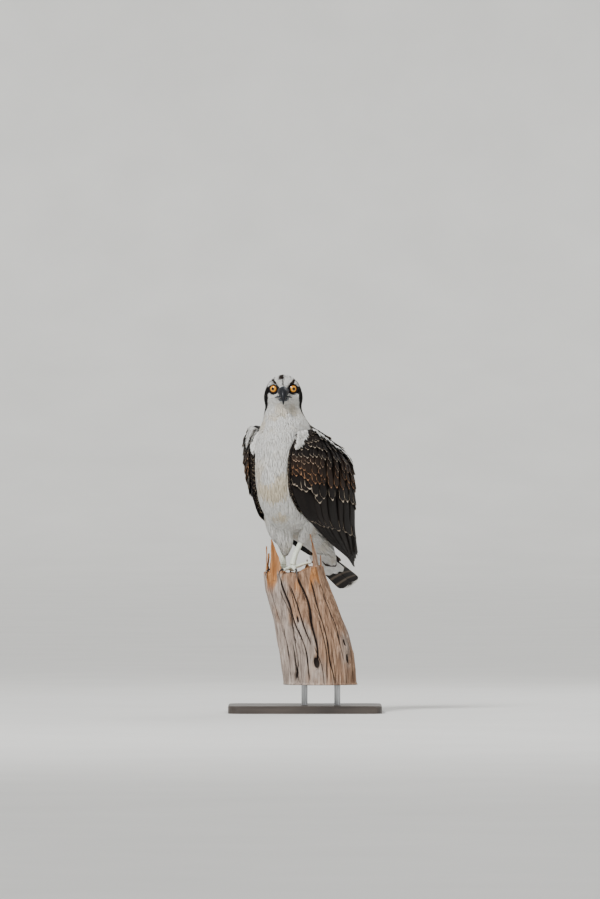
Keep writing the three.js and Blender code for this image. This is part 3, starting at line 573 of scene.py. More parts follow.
body_front = profile([
    (-2, 176), (4, 164), (12, 146), (28, 116), (46, 84), (64, 46), (78, 0), (97, -41),
    (128, -67), (164, -80), (205, -84), (246, -80), (270, -71), (287, -60), (300, -49), (316, -39),
])
body_back = profile([
    (-2, 182), (10, 178), (28, 171), (46, 164), (64, 157), (84, 149), (123, 134), (169, 118),
    (205, 110), (241, 98), (269, 73), (297, 38), (316, 30),
])
body_half_width = profile([
    (-2, 5), (4, 12), (12, 19), (28, 27), (46, 31), (64, 35), (79, 39), (100, 45), (131, 54),
    (168, 60), (210, 62), (251, 58), (283, 48), (300, 42), (316, 37),
])
head_front = profile([
    (316, -26), (325, -24), (335, -29), (345, -34), (357, -36), (368, -33), (377, -27),
    (383, -18), (386, -4),
])
head_back = profile([
    (316, 43), (325, 42), (345, 43), (357, 42), (368, 38), (377, 31), (383, 21), (386, 6),
])
head_half_width = profile([
    (316, 37), (324, 36.2), (339, 38.6), (354, 36.4), (368.6, 30.4), (377.5, 22.6), (383, 14),
    (386, 3.5),
])


def slice_ring(front, back, half_width, height, power, turns):
    c, s = np.cos(turns), np.sin(turns)
    middle = (front + back) / 2
    return np.stack([
        half_width * np.sign(c) * np.abs(c) ** power,
        middle + (back - front) / 2 * np.sign(s) * np.abs(s) ** power,
        np.full_like(c, height),
    ], axis=-1)


def coat_depth(height):
    return mix(3.2, 2.0, smooth(270, 335, height))


def trunk_ring(height, turns):
    depth = coat_depth(height)
    if height > HEAD_CUT:
        # The crown closes below the solid's by the same depth
        level = height
        height = height + depth * float(smooth(345, CROWN - depth, height))
        shrink = min(depth, 0.5 * float(head_half_width(height)))
        ring = slice_ring(
            float(head_front(height)) + shrink, float(head_back(height)) - shrink,
            float(head_half_width(height)) - shrink, level, 2 / 2.1, turns)
        return head_to_bird(ring)
    shrink = min(depth, 0.6 * float(body_half_width(height)))
    # The undertail coverts hang to the side of the tail that faces the viewer
    hanging = float(smooth(84, 24, height))
    front = float(body_front(height)) + shrink + 20 * hanging
    back = float(body_back(height)) - shrink
    if back < front + 2:
        front = back = (front + back) / 2
    ring = slice_ring(
        front, back, float(body_half_width(height)) - shrink, height, 2 / 2.2, turns)
    ring[:, 0] = ring[:, 0] * mix(1, 0.72, hanging) + 9 * hanging
    turn = BODY_TURN * float(smooth(NECK_CUT - 6, HEAD_CUT, height))
    shift = float(smooth(NECK_CUT, HEAD_CUT, height))
    ring[:, 1] -= HEAD_CENTRE[1]
    ring = turned(ring, turn)
    ring[:, 0] += HEAD_CENTRE[0] * shift
    ring[:, 1] += HEAD_CENTRE[1]
    return ring


def bar(route, width, height, sides=28, steps=24):
    """Rings round a smooth route. width and height give half sizes at each share of it."""
    shares = np.linspace(0, 1, steps + 1)
    centres = spline(route, shares)
    along = unit(np.gradient(centres, axis=0))
    side = unit(np.cross(along, np.array([0.0, 1.0, 0.0])))
    over = np.cross(side, along)
    turns = np.linspace(0, 2 * np.pi, sides, endpoint=False)
    return (
        centres[:, None]
        + side[:, None] * (width(shares)[:, None] * np.cos(turns))[..., None]
        + over[:, None] * (height(shares)[:, None] * np.sin(turns))[..., None]
    )


THIGHS = {
    "left": ([(32, 14, 132), (31, 20, 104), (28, 20, 78), (24, 12, 56)],
             [(0, 26), (0.35, 22), (0.7, 16), (1, 8.5)]),
    "right": ([(-32, 4, 130), (-31, 3, 102), (-27, 5, 76), (-19, 11, 54)],
              [(0, 26), (0.35, 22), (0.7, 16), (1, 8)]),
}
TUFT_ROUTE = [(-8, -16, 116), (-7, -5, 84), (-6, 3, 56), (-7, 6, 33)]
TUFT_SIZE = [(0, 27), (0.35, 22), (0.7, 17), (1, 7)]
THIGH_COAT = 2.5


def eye_axis(side):
    return np.array([side * math.sin(EYE_TURN), -math.cos(EYE_TURN), 0.0])


def eye_place(points, side):
    """How far points of the head frame lie out along the eye's axis and beside it."""
    away = points - EYE_CENTRE * np.array([side, 1, 1])
    along = away @ eye_axis(side)
    beside = np.linalg.norm(away - along[..., None] * eye_axis(side), axis=-1)
    return away, along, beside


def lid_place(points, side):
    """As eye_place, with the opening lowered from above by the brow."""
    away, along, _ = eye_place(points, side)
    flat = away - along[..., None] * eye_axis(side)
    flat[..., 2] *= np.where(flat[..., 2] > 0, BROW_SQUEEZE, 1.0)
    return along, np.linalg.norm(flat, axis=-1)


def build_skin():
    turns = np.linspace(0, 2 * np.pi, 120, endpoint=False)
    lower = np.arange(-2, HEAD_CUT, 3.0)
    upper = HEAD_CUT + 0.5 + (CROWN - 2.6 - HEAD_CUT) * np.sin(np.linspace(0.02, np.pi / 2, 40))
    parts = [tube([trunk_ring(float(h), turns) for h in [*lower, *upper]])]
    for route, size in THIGHS.values():
        size = profile([(u, s - THIGH_COAT) for u, s in size])
        parts.append(tube(bar(route, lambda u: size(u) * 0.78, size)))
    tuft = profile([(u, max(s - 3, 0.8)) for u, s in TUFT_SIZE])
    parts.append(tube(bar(TUFT_ROUTE, tuft, lambda u: tuft(u) * 0.7)))
    parts = [(to_world(points), faces) for points, faces in parts]
    skin = applied(
        joined_mesh("skin", parts),
        ("REMESH", {"mode": "VOXEL", "voxel_size": 0.0015}),
        ("SMOOTH", {"factor": 0.5, "iterations": 6}),
    )
    points = bird_to_head(from_world(mesh_points(skin)))
    for side in (-1, 1):
        along, beside = lid_place(points, side)
        lid = np.sqrt(np.maximum((EYE_RADIUS + 0.9) ** 2 - beside ** 2, 4.0))
        lid += 1.1 * np.exp(-((beside - EYE_OPENING - 1.5) / 1.3) ** 2)
        lid = np.where(beside < EYE_OPENING - 0.2, 2.0, lid)
        weight = (1 - smooth(EYE_OPENING + 2.5, EYE_OPENING + 9, beside)) * (along > 0)
        points = points + ((lid - along) * weight)[:, None] * eye_axis(side)
    set_points(skin, to_world(head_to_bird(points)))
    return skin


# Markings: one function gives the colour of every place on the body, for skin and feathers

WHITE = np.array([0.86, 0.845, 0.8])
CREAM = np.array([0.7, 0.565, 0.34])
BROWN = np.array([0.03, 0.019, 0.013])
BLACK = np.array([0.006, 0.005, 0.005])

# The dark stripe of the head, in its own frame: out, forward and height along it, half-width
EYE_STRIPE = [
    (11, -33, 352, 2.5), (18, -29, 356, 4.5), (27, -20, 356, 5.5), (33, -10, 354, 9),
    (35.5, -6, 344, 11.5), (37, -2, 330, 10.5), (37.5, 3, 316, 9.5), (39, 16, 300, 13),
    (42, 34, 282, 20),
]


def stripe_amount(points):
    """How deep inside the eye stripe points of the head frame lie, 0 outside and 1 in it."""
    place = np.array(points, float)
    place[..., 0] = np.abs(place[..., 0])
    best = np.full(place.shape[:-1], -1e9)
    for a, b in zip(EYE_STRIPE, EYE_STRIPE[1:]):
        start, end = np.array(a[:3]), np.array(b[:3])
        run = end - start
        share = clamp01(((place - start) @ run) / (run @ run))
        away = np.linalg.norm(place - start - share[..., None] * run, axis=-1)
        best = np.maximum(best, mix(a[3], b[3], share) - away)
    return best


def markings(points):
    """Colours for points of the bird frame."""
    head = bird_to_head(points)
    height = points[..., 2]
    ragged = noise(points, 5, 1) - 0.5
    coarse = noise(points, 16, 2) - 0.5
    colour = np.broadcast_to(WHITE, points.shape).copy()

    stain = 0.75 * smooth(0.45, 0.75, noise(points, 26, 3)) * smooth(250, 160, height)
    throat = smooth(255, 290, height) * smooth(345, 310, height)
    stain += 0.5 * smooth(0.4, 0.8, noise(points, 12, 4)) * throat
    front = smooth(10, -30, points[..., 1])
    stain = clamp01(stain * mix(0.35, 1, front))[..., None]
    colour = mix(colour, CREAM, 0.95 * stain)

    # Mantle and hind neck
    middle = (body_front(height) + body_back(height)) / 2
    low_turn = np.arctan2(np.abs(points[..., 0]) / body_half_width(height),
                          (middle - points[..., 1]) / (middle - body_front(height)))
    reach = mix(low_turn, np.arctan2(np.abs(head[..., 0]), -head[..., 1]), smooth(270, 305, height))
    border = np.radians(mix(104, 98, smooth(310, 262, height)))
    mantle = smooth(-0.1, 0.1, reach - border + 0.35 * ragged + 0.25 * coarse)
    rump = smooth(-0.15, 0.15, reach - math.radians(124) + 0.3 * ragged)
    mantle *= smooth(325, 302, height + 14 * coarse) * np.maximum(smooth(60, 90, height), rump)
    mantle *= np.where(thigh_side(points) != 0, 0, 1)
    nape = smooth(-10, 12, head[..., 1]) * smooth(300, 330, height)
    nape *= smooth(12, 22, np.abs(head[..., 0]) + 16 * ragged)
    nape *= 0.75 * smooth(372, 350, height)
    colour = mix(colour, BROWN, clamp01(np.maximum(mantle, nape))[..., None])

    # Head: the eye stripe, then the dark marks of brow and crown
    stripe = smooth(-1.2, 1.2, stripe_amount(head) + 3.2 * ragged)
    colour = mix(colour, BLACK, stripe[..., None])
    x, y = head[..., 0], head[..., 1]
    on_head = smooth(340, 350, height)
    crown_back = smooth(-24, 0, y) * smooth(352, 368, height)
    flecks = smooth(0.5, 0.62, noise(head * np.array([1, 0.45, 0.6]), 3.4, 5))
    flecks *= on_head * smooth(356, 366, height)
    patch = smooth(6.5, 3.5, np.abs(x + 3.5 + 4 * ragged)) * smooth(373, 376.5, height + 3 * ragged)
    line = smooth(2.2, 1.0, np.abs(x + 1.2 + 2 * ragged)) * smooth(362, 365, height) * 0.8
    brow_line = mix(14, 20.5, smooth(362, 376, height))
    brows = smooth(4.0, 2.2, np.abs(np.abs(x) - brow_line + 4 * ragged))
    brows *= smooth(359, 362, height) * smooth(379, 373, height)
    dark = np.maximum.reduce([
        flecks * mix(0.15, 0.95, crown_back), patch, line, brows,
        crown_back * smooth(-0.1, 0.15, coarse)])
    dark = clamp01(dark) * smooth(352, 360, height)
    colour = mix(colour, mix(BLACK, BROWN, 0.4), dark[..., None])

    # The bare lids
    for side in (-1, 1):
        along, beside = lid_place(head, side)
        rim = smooth(EYE_OPENING + 3.6, EYE_OPENING + 2.4, beside + 1.2 * ragged) * (along > 0)
        colour = mix(colour, BLACK, rim[..., None])
    return colour


# Feathers: closed vanes made many at once

SKIN_WIDTH = 0.72
PIECE_TRIANGLES = 190000


def thigh_side(points):
    """+1 or -1 where points lie nearer a thigh than the trunk, else 0."""
    out = np.zeros(points.shape[:-1])
    low = (points[..., 2] < 112) & (points[..., 1] < 52) & (np.abs(points[..., 0]) > 13)
    out[low] = np.sign(points[..., 0][low])
    return out


def skin_uv(points):
    """The skin unwrapped round the bird's upright axis, with the thighs beside it."""
    height = points[..., 2]
    thigh = thigh_side(points)
    middle = (body_front(height) + body_back(height)) / 2
    middle = np.where(height > HEAD_CUT, HEAD_CENTRE[1] + 4, middle)
    turn = np.arctan2(points[..., 0], -(points[..., 1] - middle)) / (2 * np.pi) + 0.5
    leg_turn = np.arctan2(np.abs(points[..., 0]) - 27, -(points[..., 1] - 12)) / (2 * np.pi) + 0.5
    u = np.where(thigh == 0, turn * SKIN_WIDTH, 0.82 + 0.16 * leg_turn)
    v = np.where(
        thigh == 0, (height + 10) / 420, 0.25 + 0.24 * thigh + 0.2 * (height - 80) / 60)
    return np.stack([u, v], axis=-1)


def vane_faces(rows, columns):
    """Faces of one vane: a top sheet and an under sheet that share their border."""
    top = np.arange(rows * columns).reshape(rows, columns)
    under = top.copy()
    inner = (rows - 2) * (columns - 2)
    under[1:-1, 1:-1] = rows * columns + np.arange(inner).reshape(rows - 2, columns - 2)
    return np.concatenate([grid_faces(top), grid_faces(under)[:, ::-1]])


def vanes(name, node, top, normals, thickness, tint, edge, rim, uv, look):
    """Pieces of closed vanes, each within the limit of triangles, in place of a solid.

    top is (vanes, rows, columns, 3) in bird millimetres.
    """
    count, rows, columns, _ = top.shape
    faces = vane_faces(rows, columns)
    limit = PIECE_TRIANGLES // (2 * len(faces))

    def layered(values):
        values = np.broadcast_to(values, (count, rows, columns, values.shape[-1]))
        inner = values[:, 1:-1, 1:-1].reshape(count, -1, values.shape[-1])
        return np.concatenate([values.reshape(count, rows * columns, -1), inner], axis=1)

    bottom = top - normals * thickness
    points = np.concatenate([
        top.reshape(count, -1, 3), bottom[:, 1:-1, 1:-1].reshape(count, -1, 3)], axis=1)
    layers = [layered(values) for values in (tint, edge, rim, uv)]
    for number, start in enumerate(range(0, count, limit), 1):
        chosen = slice(start, min(start + limit, count))
        some = points[chosen]
        offsets = (np.arange(len(some)) * some.shape[1])[:, None, None]
        all_faces = (faces[None] + offsets).reshape(-1, 4)
        title = name if count <= limit else f"{name}_{number}"
        obj = new_mesh(title, to_world(some.reshape(-1, 3)), all_faces)
        tint_part, edge_part, rim_part, uv_part = (
            layer[chosen].reshape(-1, layer.shape[-1]) for layer in layers)
        set_colour(obj, "tint", tint_part)
        set_colour(obj, "edge", edge_part)
        set_vector(obj, "rim", rim_part)
        set_uv(obj, uv_part)
        slot = "plumage_dark" if "wing" in name or "tail" in name else "plumage_white"
        dress(obj, look, slot, node)


def edges(count, colour, width):
    """Border colours of vanes, with the border's width in centimetres as their alpha."""
    out = np.zeros((count, 1, 1, 4))
    out[..., :3] = colour
    out[..., 3] = width
    return out


def vane_patches(cells, per_row, u, reach, border, wide, tall):
    """Places on the bake map for large vanes: a patch each, set out in rows."""
    corner = np.stack([cells % per_row, cells // per_row], axis=-1)[:, None, None] / per_row
    patch = np.stack(np.broadcast_arrays(
        border + wide * (u[None, None] + 1), border + tall * reach[None, :, None] + 0 * u), -1)
    return corner + patch


def rim_values(reach, columns, length, half):
    """Distances in millimetres to the tip and to the side, and the vane's length."""
    along = (1 - reach) * length
    beside = (1 - np.abs(columns)) * half
    along, beside = np.broadcast_arrays(along, beside)
    return np.stack([along, beside, np.broadcast_to(length, along.shape)], axis=-1)


def nearest_on(tree, points):
    """Nearest points of a surface and its normals there, for points in bird millimetres."""
    found = [tree.find_nearest(Vector(p)) for p in points]
    return np.array([f[0] for f in found]), np.array([f[1] for f in found])


def scattered(obj, spacing_of, seed):
    """Even, irregular places on a mesh with a spacing that may change over it."""
    rng = np.random.default_rng(seed)
    points = from_world(mesh_points(obj))
    a, b, c = (points[corners] for corners in mesh_triangles(obj).T)
    cross = np.cross(b - a, c - a)
    area = np.linalg.norm(cross, axis=1) / 2
    spacing = spacing_of((a + b + c) / 3)
    keep = spacing > 0
    weight = np.where(keep, area / np.maximum(spacing, 0.1) ** 2, 0)
    chosen = rng.choice(len(area), int(weight.sum() * 7), p=weight / weight.sum())
    u, v = rng.random((2, len(chosen), 1))
    flip = (u + v) > 1
    u, v = np.where(flip, 1 - u, u), np.where(flip, 1 - v, v)
    places = a[chosen] + u * (b - a)[chosen] + v * (c - a)[chosen]
    spacing = spacing[chosen]
    cell = np.floor(places / spacing[:, None] + 1000).astype(np.int64)
    key = (cell[:, 0] * 4099 + cell[:, 1]) * 4099 + cell[:, 2]
    _, first = np.unique(key, return_index=True)
    places, spacing = places[first], spacing[first]
    tree = KDTree(len(places))
    for i, p in enumerate(places):
        tree.insert(p, i)
    tree.balance()
    kept = np.ones(len(places), bool)
    for i, p in enumerate(places):
        if kept[i]:
            for _, j, _ in tree.find_range(p, 0.55 * spacing[i]):
                if j > i:
                    kept[j] = False
    return places[kept]


def lie(points):
    """The way feathers point on the body, before it is laid into the surface."""
    head = bird_to_head(points)
    height = points[..., 2]
    from_bill = unit(head - np.array([0.0, -36.0, 353.0]))
    down = np.array([0.0, 0.0, -1.0])
    low = smooth(352, 322, height)[..., None]
    on_head = turned(unit(mix(from_bill, down, 0.75 * low)), BODY_TURN)
    back = smooth(-20, 60, points[..., 1]) * smooth(150, 90, height)
    back = np.where(thigh_side(points) != 0, 0.1, back)
    body = np.stack([0.1 * np.sign(points[..., 0]) * smooth(5, 40, np.abs(points[..., 0])),
                     mix(0.22, 1.1, back), mix(-1.0, -0.45, back)], axis=-1)
    upward = smooth(292, 322, height)[..., None]
    return unit(mix(unit(body), on_head, upward))


PALE_BORDER = np.array([0.52, 0.42, 0.3])
TUFT_PATCH = 0.003


def body_coat(name, node, tree, roots, length, width, rows, columns, lift, seed, paint=markings):
    """Feathers laid along the body from their roots, each following the skin to its tip."""
    rng = np.random.default_rng(seed)
    count = len(roots)
    length = length * rng.uniform(0.85, 1.2, count)
    half = width * rng.uniform(0.42, 0.58, count)
    place, normal = nearest_on(tree, roots)
    sway = rng.normal(0, 0.13, (count, 3))
    heading = unit(lie(place) + sway)
    centres, outward, sides = [], [], []
    for row in range(rows):
        heading = unit(heading - (heading * normal).sum(-1, keepdims=True) * normal)
        centres.append(place)
        outward.append(normal)
        sides.append(np.cross(heading, normal))
        if row < rows - 1:
            step = place + heading * (length / (rows - 1))[:, None]
            place, normal = nearest_on(tree, step)
            heading = unit(heading + 0.25 * lie(place))
    centres, outward, sides = (np.stack(x, axis=1) for x in (centres, outward, sides))
    reach = np.linspace(0, 1, rows)
    u = np.linspace(-1, 1, columns)
    shape = np.interp(reach, [0, 0.2, 0.45, 0.7, 0.88, 1], [0.5, 0.9, 1, 0.82, 0.45, 0.06])
    layer = rng.uniform(0, 0.5, count)[:, None]
    rise = -0.8 + (lift[0] + 0.8 + layer) * smooth(0, 0.35, reach) + lift[1] * reach
    bow = 0.3 * (1 - u ** 2)[None, None] * shape[None, :, None]
    spread = half[:, None, None] * shape[None, :, None] * u[None, None]
    height = rise[..., None] + bow * np.minimum(half / 4, 1)[:, None, None]
    top = centres[:, :, None] + sides[:, :, None] * spread[..., None]
    top = top + outward[:, :, None] * height[..., None]
    back = np.gradient(centres, axis=1)[:, :, None]
    fray = rng.normal(0, 0.24, (count, 1, columns)) * (reach ** 3)[None, :, None]
    fray -= 0.34 * (np.abs(u) ** 2)[None, None] * (reach ** 4)[None, :, None]
    top = top + back * fray[..., None]
    middle = centres[:, rows // 2]
    colour = paint(middle) * rng.uniform(0.93, 1.03, (count, 1))
    tint = np.broadcast_to(colour[:, None, None], (count, rows, columns, 3))
    # Painted shade: each feather darker towards its root, under the feathers that lie over it.
    shade = mix(0.92, 1.0, reach ** 0.7)[None, :, None, None]
    dark = colour.mean(axis=1) < 0.25
    bordered = dark & (middle[:, 2] < HEAD_CUT - 1)
    edge = edges(
        count, np.where(dark[:, None], PALE_BORDER, colour)[:, None, None],
        np.where(bordered, 0.16, 0.0)[:, None, None])
    rim = rim_values(reach[None, :, None], u[None, None], length[:, None, None], half[:, None, None])
    root_uv = skin_uv(centres[:, 0])[:, None, None]
    patch = np.stack(np.broadcast_arrays(
        TUFT_PATCH / 2 * u[None, None], TUFT_PATCH * reach[None, :, None] + 0 * u), -1)
    vanes(
        name, node, top, outward[:, :, None], 0.2, tint * shade, edge, rim, root_uv + patch,
        BODY_FEATHER)


# Wings: a curved surface given by four lines from the shoulder to the tip, as in the solids

WING_LINES = [
    [(44, -44, 276), (49, -63, 250), (46, -71, 222), (45, -71, 192), (45, -61, 152),
     (47, -26, 114), (46, 28, 88), (44, 103, 54), (35, 192, 26), (19, 258, 4)],
    [(68, -13, 282), (81, -22, 256), (83, -20, 224), (80, -16, 190), (73, -6, 152),
     (65, 20, 112), (57, 68, 84), (50, 128, 54), (37, 200, 27), (18, 261, 7)],
    [(42, 38, 281), (62, 72, 254), (85, 100, 220), (87, 112, 190), (84, 122, 160),
     (76, 140, 122), (66, 158, 86), (50, 194, 53), (32, 230, 29), (12, 264, 9)],
    [(20, 42, 296), (21, 79, 270), (18, 105, 240), (15, 117, 205), (12, 127, 169),
     (10, 150, 123), (8, 182, 90), (7, 213, 58), (6, 241, 33), (4, 266, 10)],
]
SHOULDER_LIFT = 6
EDGE_DEPTH = 9
GRID_ALONG = 241
GRID_ACROSS = 121
wing_rows = [spline(line, np.linspace(0, 1, GRID_ALONG)) for line in WING_LINES]
WING_GRID = spline(wing_rows, np.linspace(0, 1, GRID_ACROSS))
WING_DOWN = np.gradient(WING_GRID, 1 / (GRID_ALONG - 1), axis=0)
WING_OVER = np.gradient(WING_GRID, 1 / (GRID_ACROSS - 1), axis=1)
WING_NORMAL = unit(np.cross(WING_DOWN, WING_OVER))


def looked_up(grid, along, across):
    a = clamp01(along) * (GRID_ALONG - 1)
    b = clamp01(across) * (GRID_ACROSS - 1)
    i = np.minimum(a.astype(int), GRID_ALONG - 2)
    j = np.minimum(b.astype(int), GRID_ACROSS - 2)
    u, v = (a - i)[..., None], (b - j)[..., None]
    return (
        grid[i, j] * (1 - u) * (1 - v) + grid[i + 1, j] * u * (1 - v)
        + grid[i, j + 1] * (1 - u) * v + grid[i + 1, j + 1] * u * v
    )


def on_side(points, side, along):
    out = np.array(points, float)
    if side < 0:
        out[..., 2] += SHOULDER_LIFT * smooth(0.45, 0.05, along)
        out[..., 0] *= -1
    return out


BLACK_VANE = np.array([0.0095, 0.0072, 0.0064])
BROWN_VANE = np.array([0.02, 0.0125, 0.009])
PALE_TIP = np.array([0.6, 0.5, 0.39])
RUFOUS_TIP = np.array([0.44, 0.235, 0.125])

# Rows of wing feathers, laid from the tip up. Pairs run from the front edge to the back: start and
# end are where roots and tips lie along the wing, across their place over its width. lift and stack
# say how high the tips stand, tip and edge how wide the pale border is and its colour.
Tier = namedtuple("Tier", "name number start end across width lift stack rows base tip edge")
WING_TIERS = [
    Tier("primaries", 9, (0.47, 0.52), (1, 0.88), (0.1, 0.7), (24, 30),
         -2.0, 6.5, 16, BLACK_VANE, 1.2, PALE_TIP * 0.5),
    Tier("secondaries", 13, (0.36, 0.46), (0.585, 0.75), (0.02, 0.74), (27, 36),
         1.4, 1.4, 12, BLACK_VANE, 2.4, PALE_TIP),
    Tier("tertials", 5, (0.37, 0.37), (0.76, 0.66), (0.75, 0.96), (32, 26),
         3.4, 1.2, 12, BROWN_VANE, 2.4, PALE_TIP * 0.8),
    Tier("greater coverts", 15, (0.27, 0.37), (0.385, 0.56), (0.01, 0.74), (20, 26),
         2.4, 0.6, 9, BLACK_VANE, 3.4, PALE_TIP),
    Tier("median coverts", 17, (0.225, 0.29), (0.335, 0.47), (0.01, 0.72), (15, 19),
         2.6, 0, 9, BROWN_VANE, 3.0, RUFOUS_TIP),
    Tier("lesser coverts 5", 17, (0.195, 0.25), (0.295, 0.41), (0.01, 0.72), (14, 17),
         2.6, 0, 9, BROWN_VANE, 2.8, RUFOUS_TIP * 1.15),
    Tier("lesser coverts 4", 17, (0.16, 0.2), (0.25, 0.34), (0.01, 0.72), (13, 16),
         2.5, 0, 7, BROWN_VANE, 2.6, mix(RUFOUS_TIP, PALE_TIP, 0.5)),
    Tier("lesser coverts 3", 17, (0.12, 0.15), (0.205, 0.27), (0.01, 0.72), (12, 15),
         2.4, 0, 7, BLACK_VANE, 2.4, PALE_TIP),
    Tier("lesser coverts 2", 16, (0.085, 0.1), (0.16, 0.2), (0.02, 0.72), (12, 15),
         2.2, 0, 7, BLACK_VANE, 2.2, PALE_TIP),
    Tier("lesser coverts 1", 15, (0.04, 0.05), (0.115, 0.14), (0.03, 0.7), (12, 16),
         1.8, 0, 6, BLACK_VANE, 1.8, PALE_TIP * 0.9),
    Tier("marginal coverts", 14, (0.0, 0.0), (0.07, 0.085), (0.04, 0.68), (12, 16),
         1.2, 0, 6, BLACK_VANE, 1.4, PALE_TIP * 0.8),
    Tier("scapulars 4", 7, (0.26, 0.28), (0.44, 0.47), (0.7, 0.97), (26, 22),
         4.0, 0, 9, BROWN_VANE, 2.4, PALE_TIP),
    Tier("scapulars 3", 8, (0.19, 0.2), (0.34, 0.37), (0.68, 0.97), (21, 18),
         4.2, 0, 8, BLACK_VANE, 2.2, PALE_TIP),
    Tier("scapulars 2", 9, (0.12, 0.13), (0.25, 0.28), (0.66, 0.97), (18, 16),
         4.0, 0, 8, BLACK_VANE, 2.0, PALE_TIP),
    Tier("scapulars 1", 10, (0.06, 0.06), (0.17, 0.19), (0.63, 0.97), (16, 14),
         3.6, 0, 7, BLACK_VANE, 1.9, PALE_TIP),
    Tier("mantle edge", 11, (0.0, 0.0), (0.1, 0.11), (0.6, 0.97), (15, 13),
         3.0, 0, 7, BLACK_VANE, 1.8, PALE_TIP),
]
VANE_COLUMNS = 7
VANE_REST = -2.4
VANE_TILT = 1.1
vane_shape = profile([
    (0, 0.62), (0.25, 0.9), (0.6, 1), (0.82, 0.99), (0.93, 0.88), (1, 0.5),
])


def wing_node(side):
    return "wing_left" if side > 0 else "wing_right"


def wing_tier(side, tier, rng, first):
    """One row of wing feathers; first is the number of its first patch on the bake map."""
    count, rows = tier.number, tier.rows
    place = np.linspace(0, 1, count)
    reach = 1 - (1 - np.linspace(0, 1, rows)) ** 1.35
    u = np.linspace(-1, 1, VANE_COLUMNS)
    start = mix(*tier.start, place)
    end = np.minimum(1, mix(*tier.end, place) + rng.normal(0, 0.009, count))
    middle = mix(*tier.across, place) + rng.normal(0, 0.009, count)
    width = mix(*tier.width, place) * rng.uniform(0.88, 1.12, count)
    along = mix(start[:, None], end[:, None], reach[None])
    over = np.linalg.norm(looked_up(WING_OVER, along, middle[:, None] + 0 * along), axis=-1)
    half = (width / 2)[:, None] * vane_shape(reach)[None]
    across = clamp01(middle[:, None, None] + (half / over)[..., None] * u)
    rounding = 0.5 * (end - start) * np.minimum(1, 9 / (width / 2 + 9))
    held = along[..., None] - rounding[:, None, None] * 0.5 * (u ** 2) * (reach ** 6)[None, :, None]
    point = looked_up(WING_GRID, held, across)
    normal = looked_up(WING_NORMAL, held, across)
    raised = mix(VANE_REST, tier.lift + tier.stack * place[:, None], reach[None])
    raised = raised - 6 * (1 - smooth(0, 0.2, reach))[None]
    warp = rng.normal(0, 0.55, (count, 1)) * reach[None] ** 2
    raised = (raised + warp)[..., None] - VANE_TILT * u + 0.9 * (1 - u ** 2)
    # A fine groove along the shaft
    raised = raised + 0.3 * np.exp(-(u / 0.2) ** 2) * (1 - reach)[None, :, None]
    top = on_side(point + normal * raised[..., None], side, held)
    facing = normal.copy()
    facing[..., 0] *= side
    length = np.linalg.norm(point[:, -1, 3] - point[:, 0, 3], axis=-1)
    rim = rim_values(reach[None, :, None], u[None, None], length[:, None, None],
                     (width / 2)[:, None, None])
    tone = rng.uniform(0.75, 1.3, (count, 1, 1, 1))
    tint = np.broadcast_to(tier.base * tone, (count, rows, VANE_COLUMNS, 3))
    edge = edges(
        count, tier.edge * rng.uniform(0.7, 1.1, (count, 1, 1, 1)),
        tier.tip / 10 * rng.uniform(0.75, 1.2, (count, 1, 1)))
    uv = vane_patches(first + np.arange(count), 16, u, reach, 0.004, 0.026, 0.052)
    node = wing_node(side)
    name = f"{node}_{tier.name.replace(' ', '_')}"
    vanes(name, node, top, facing, 0.45, tint, edge, rim, uv, FLIGHT_FEATHER)


def wing_core(side):
    """The dark body of the folded wing under its feathers, ending half way down them."""
    along = np.linspace(0, 0.62, 60)[:, None]
    across = np.linspace(0, 1, 40)[None]
    along, across = np.broadcast_arrays(along, across)
    point = looked_up(WING_GRID, along, across)
    normal = looked_up(WING_NORMAL, along, across)
    outer = point - 4.6 * normal
    rim = np.sin(np.pi * clamp01(across * 0.9 + 0.05))
    depth = mix(22, 3, smooth(0.3, 0.62, along)) * mix(0.3, 1, rim)
    inner = outer - depth[..., None] * normal
    inner[..., 0] = np.maximum(inner[..., 0], 1.5)
    sheets = np.stack([outer, inner])
    points = on_side(sheets, side, np.stack([along, along])).reshape(-1, 3)
    size = along.size
    grid = np.arange(size).reshape(along.shape)
    quads = grid_faces(grid)
    border = np.concatenate([grid[0, :-1], grid[:-1, -1], grid[-1, :0:-1], grid[:0:-1, 0]])
    after = np.roll(border, -1)
    wall = np.stack([border, border + size, after + size, after], axis=-1)
    faces = np.concatenate([quads, quads[:, ::-1] + size, wall])
    if side > 0:
        faces = faces[:, ::-1]
    obj = new_mesh(wing_node(side) + "_core", to_world(points), faces)
    set_colour(obj, "tint", np.tile(BLACK_VANE, (len(points), 1)))
    set_uv(obj, np.stack([0.3 * across, 0.9 * along], -1).reshape(-1, 2)[np.tile(np.arange(size), 2)])
    dress(obj, SKIN, "plumage_dark", wing_node(side))
    return obj


def edge_paint(side):
    """Breast white at the bend of the wing, then small dark coverts down its front edge."""
    white_from = 258 if side > 0 else 236

    def paint(points):
        ragged = noise(points, 6, 14) - 0.5
        white = smooth(-3, 3, points[..., 2] + 22 * ragged - white_from)
        return mix(BLACK_VANE * 1.3, WHITE, white[..., None])

    return paint


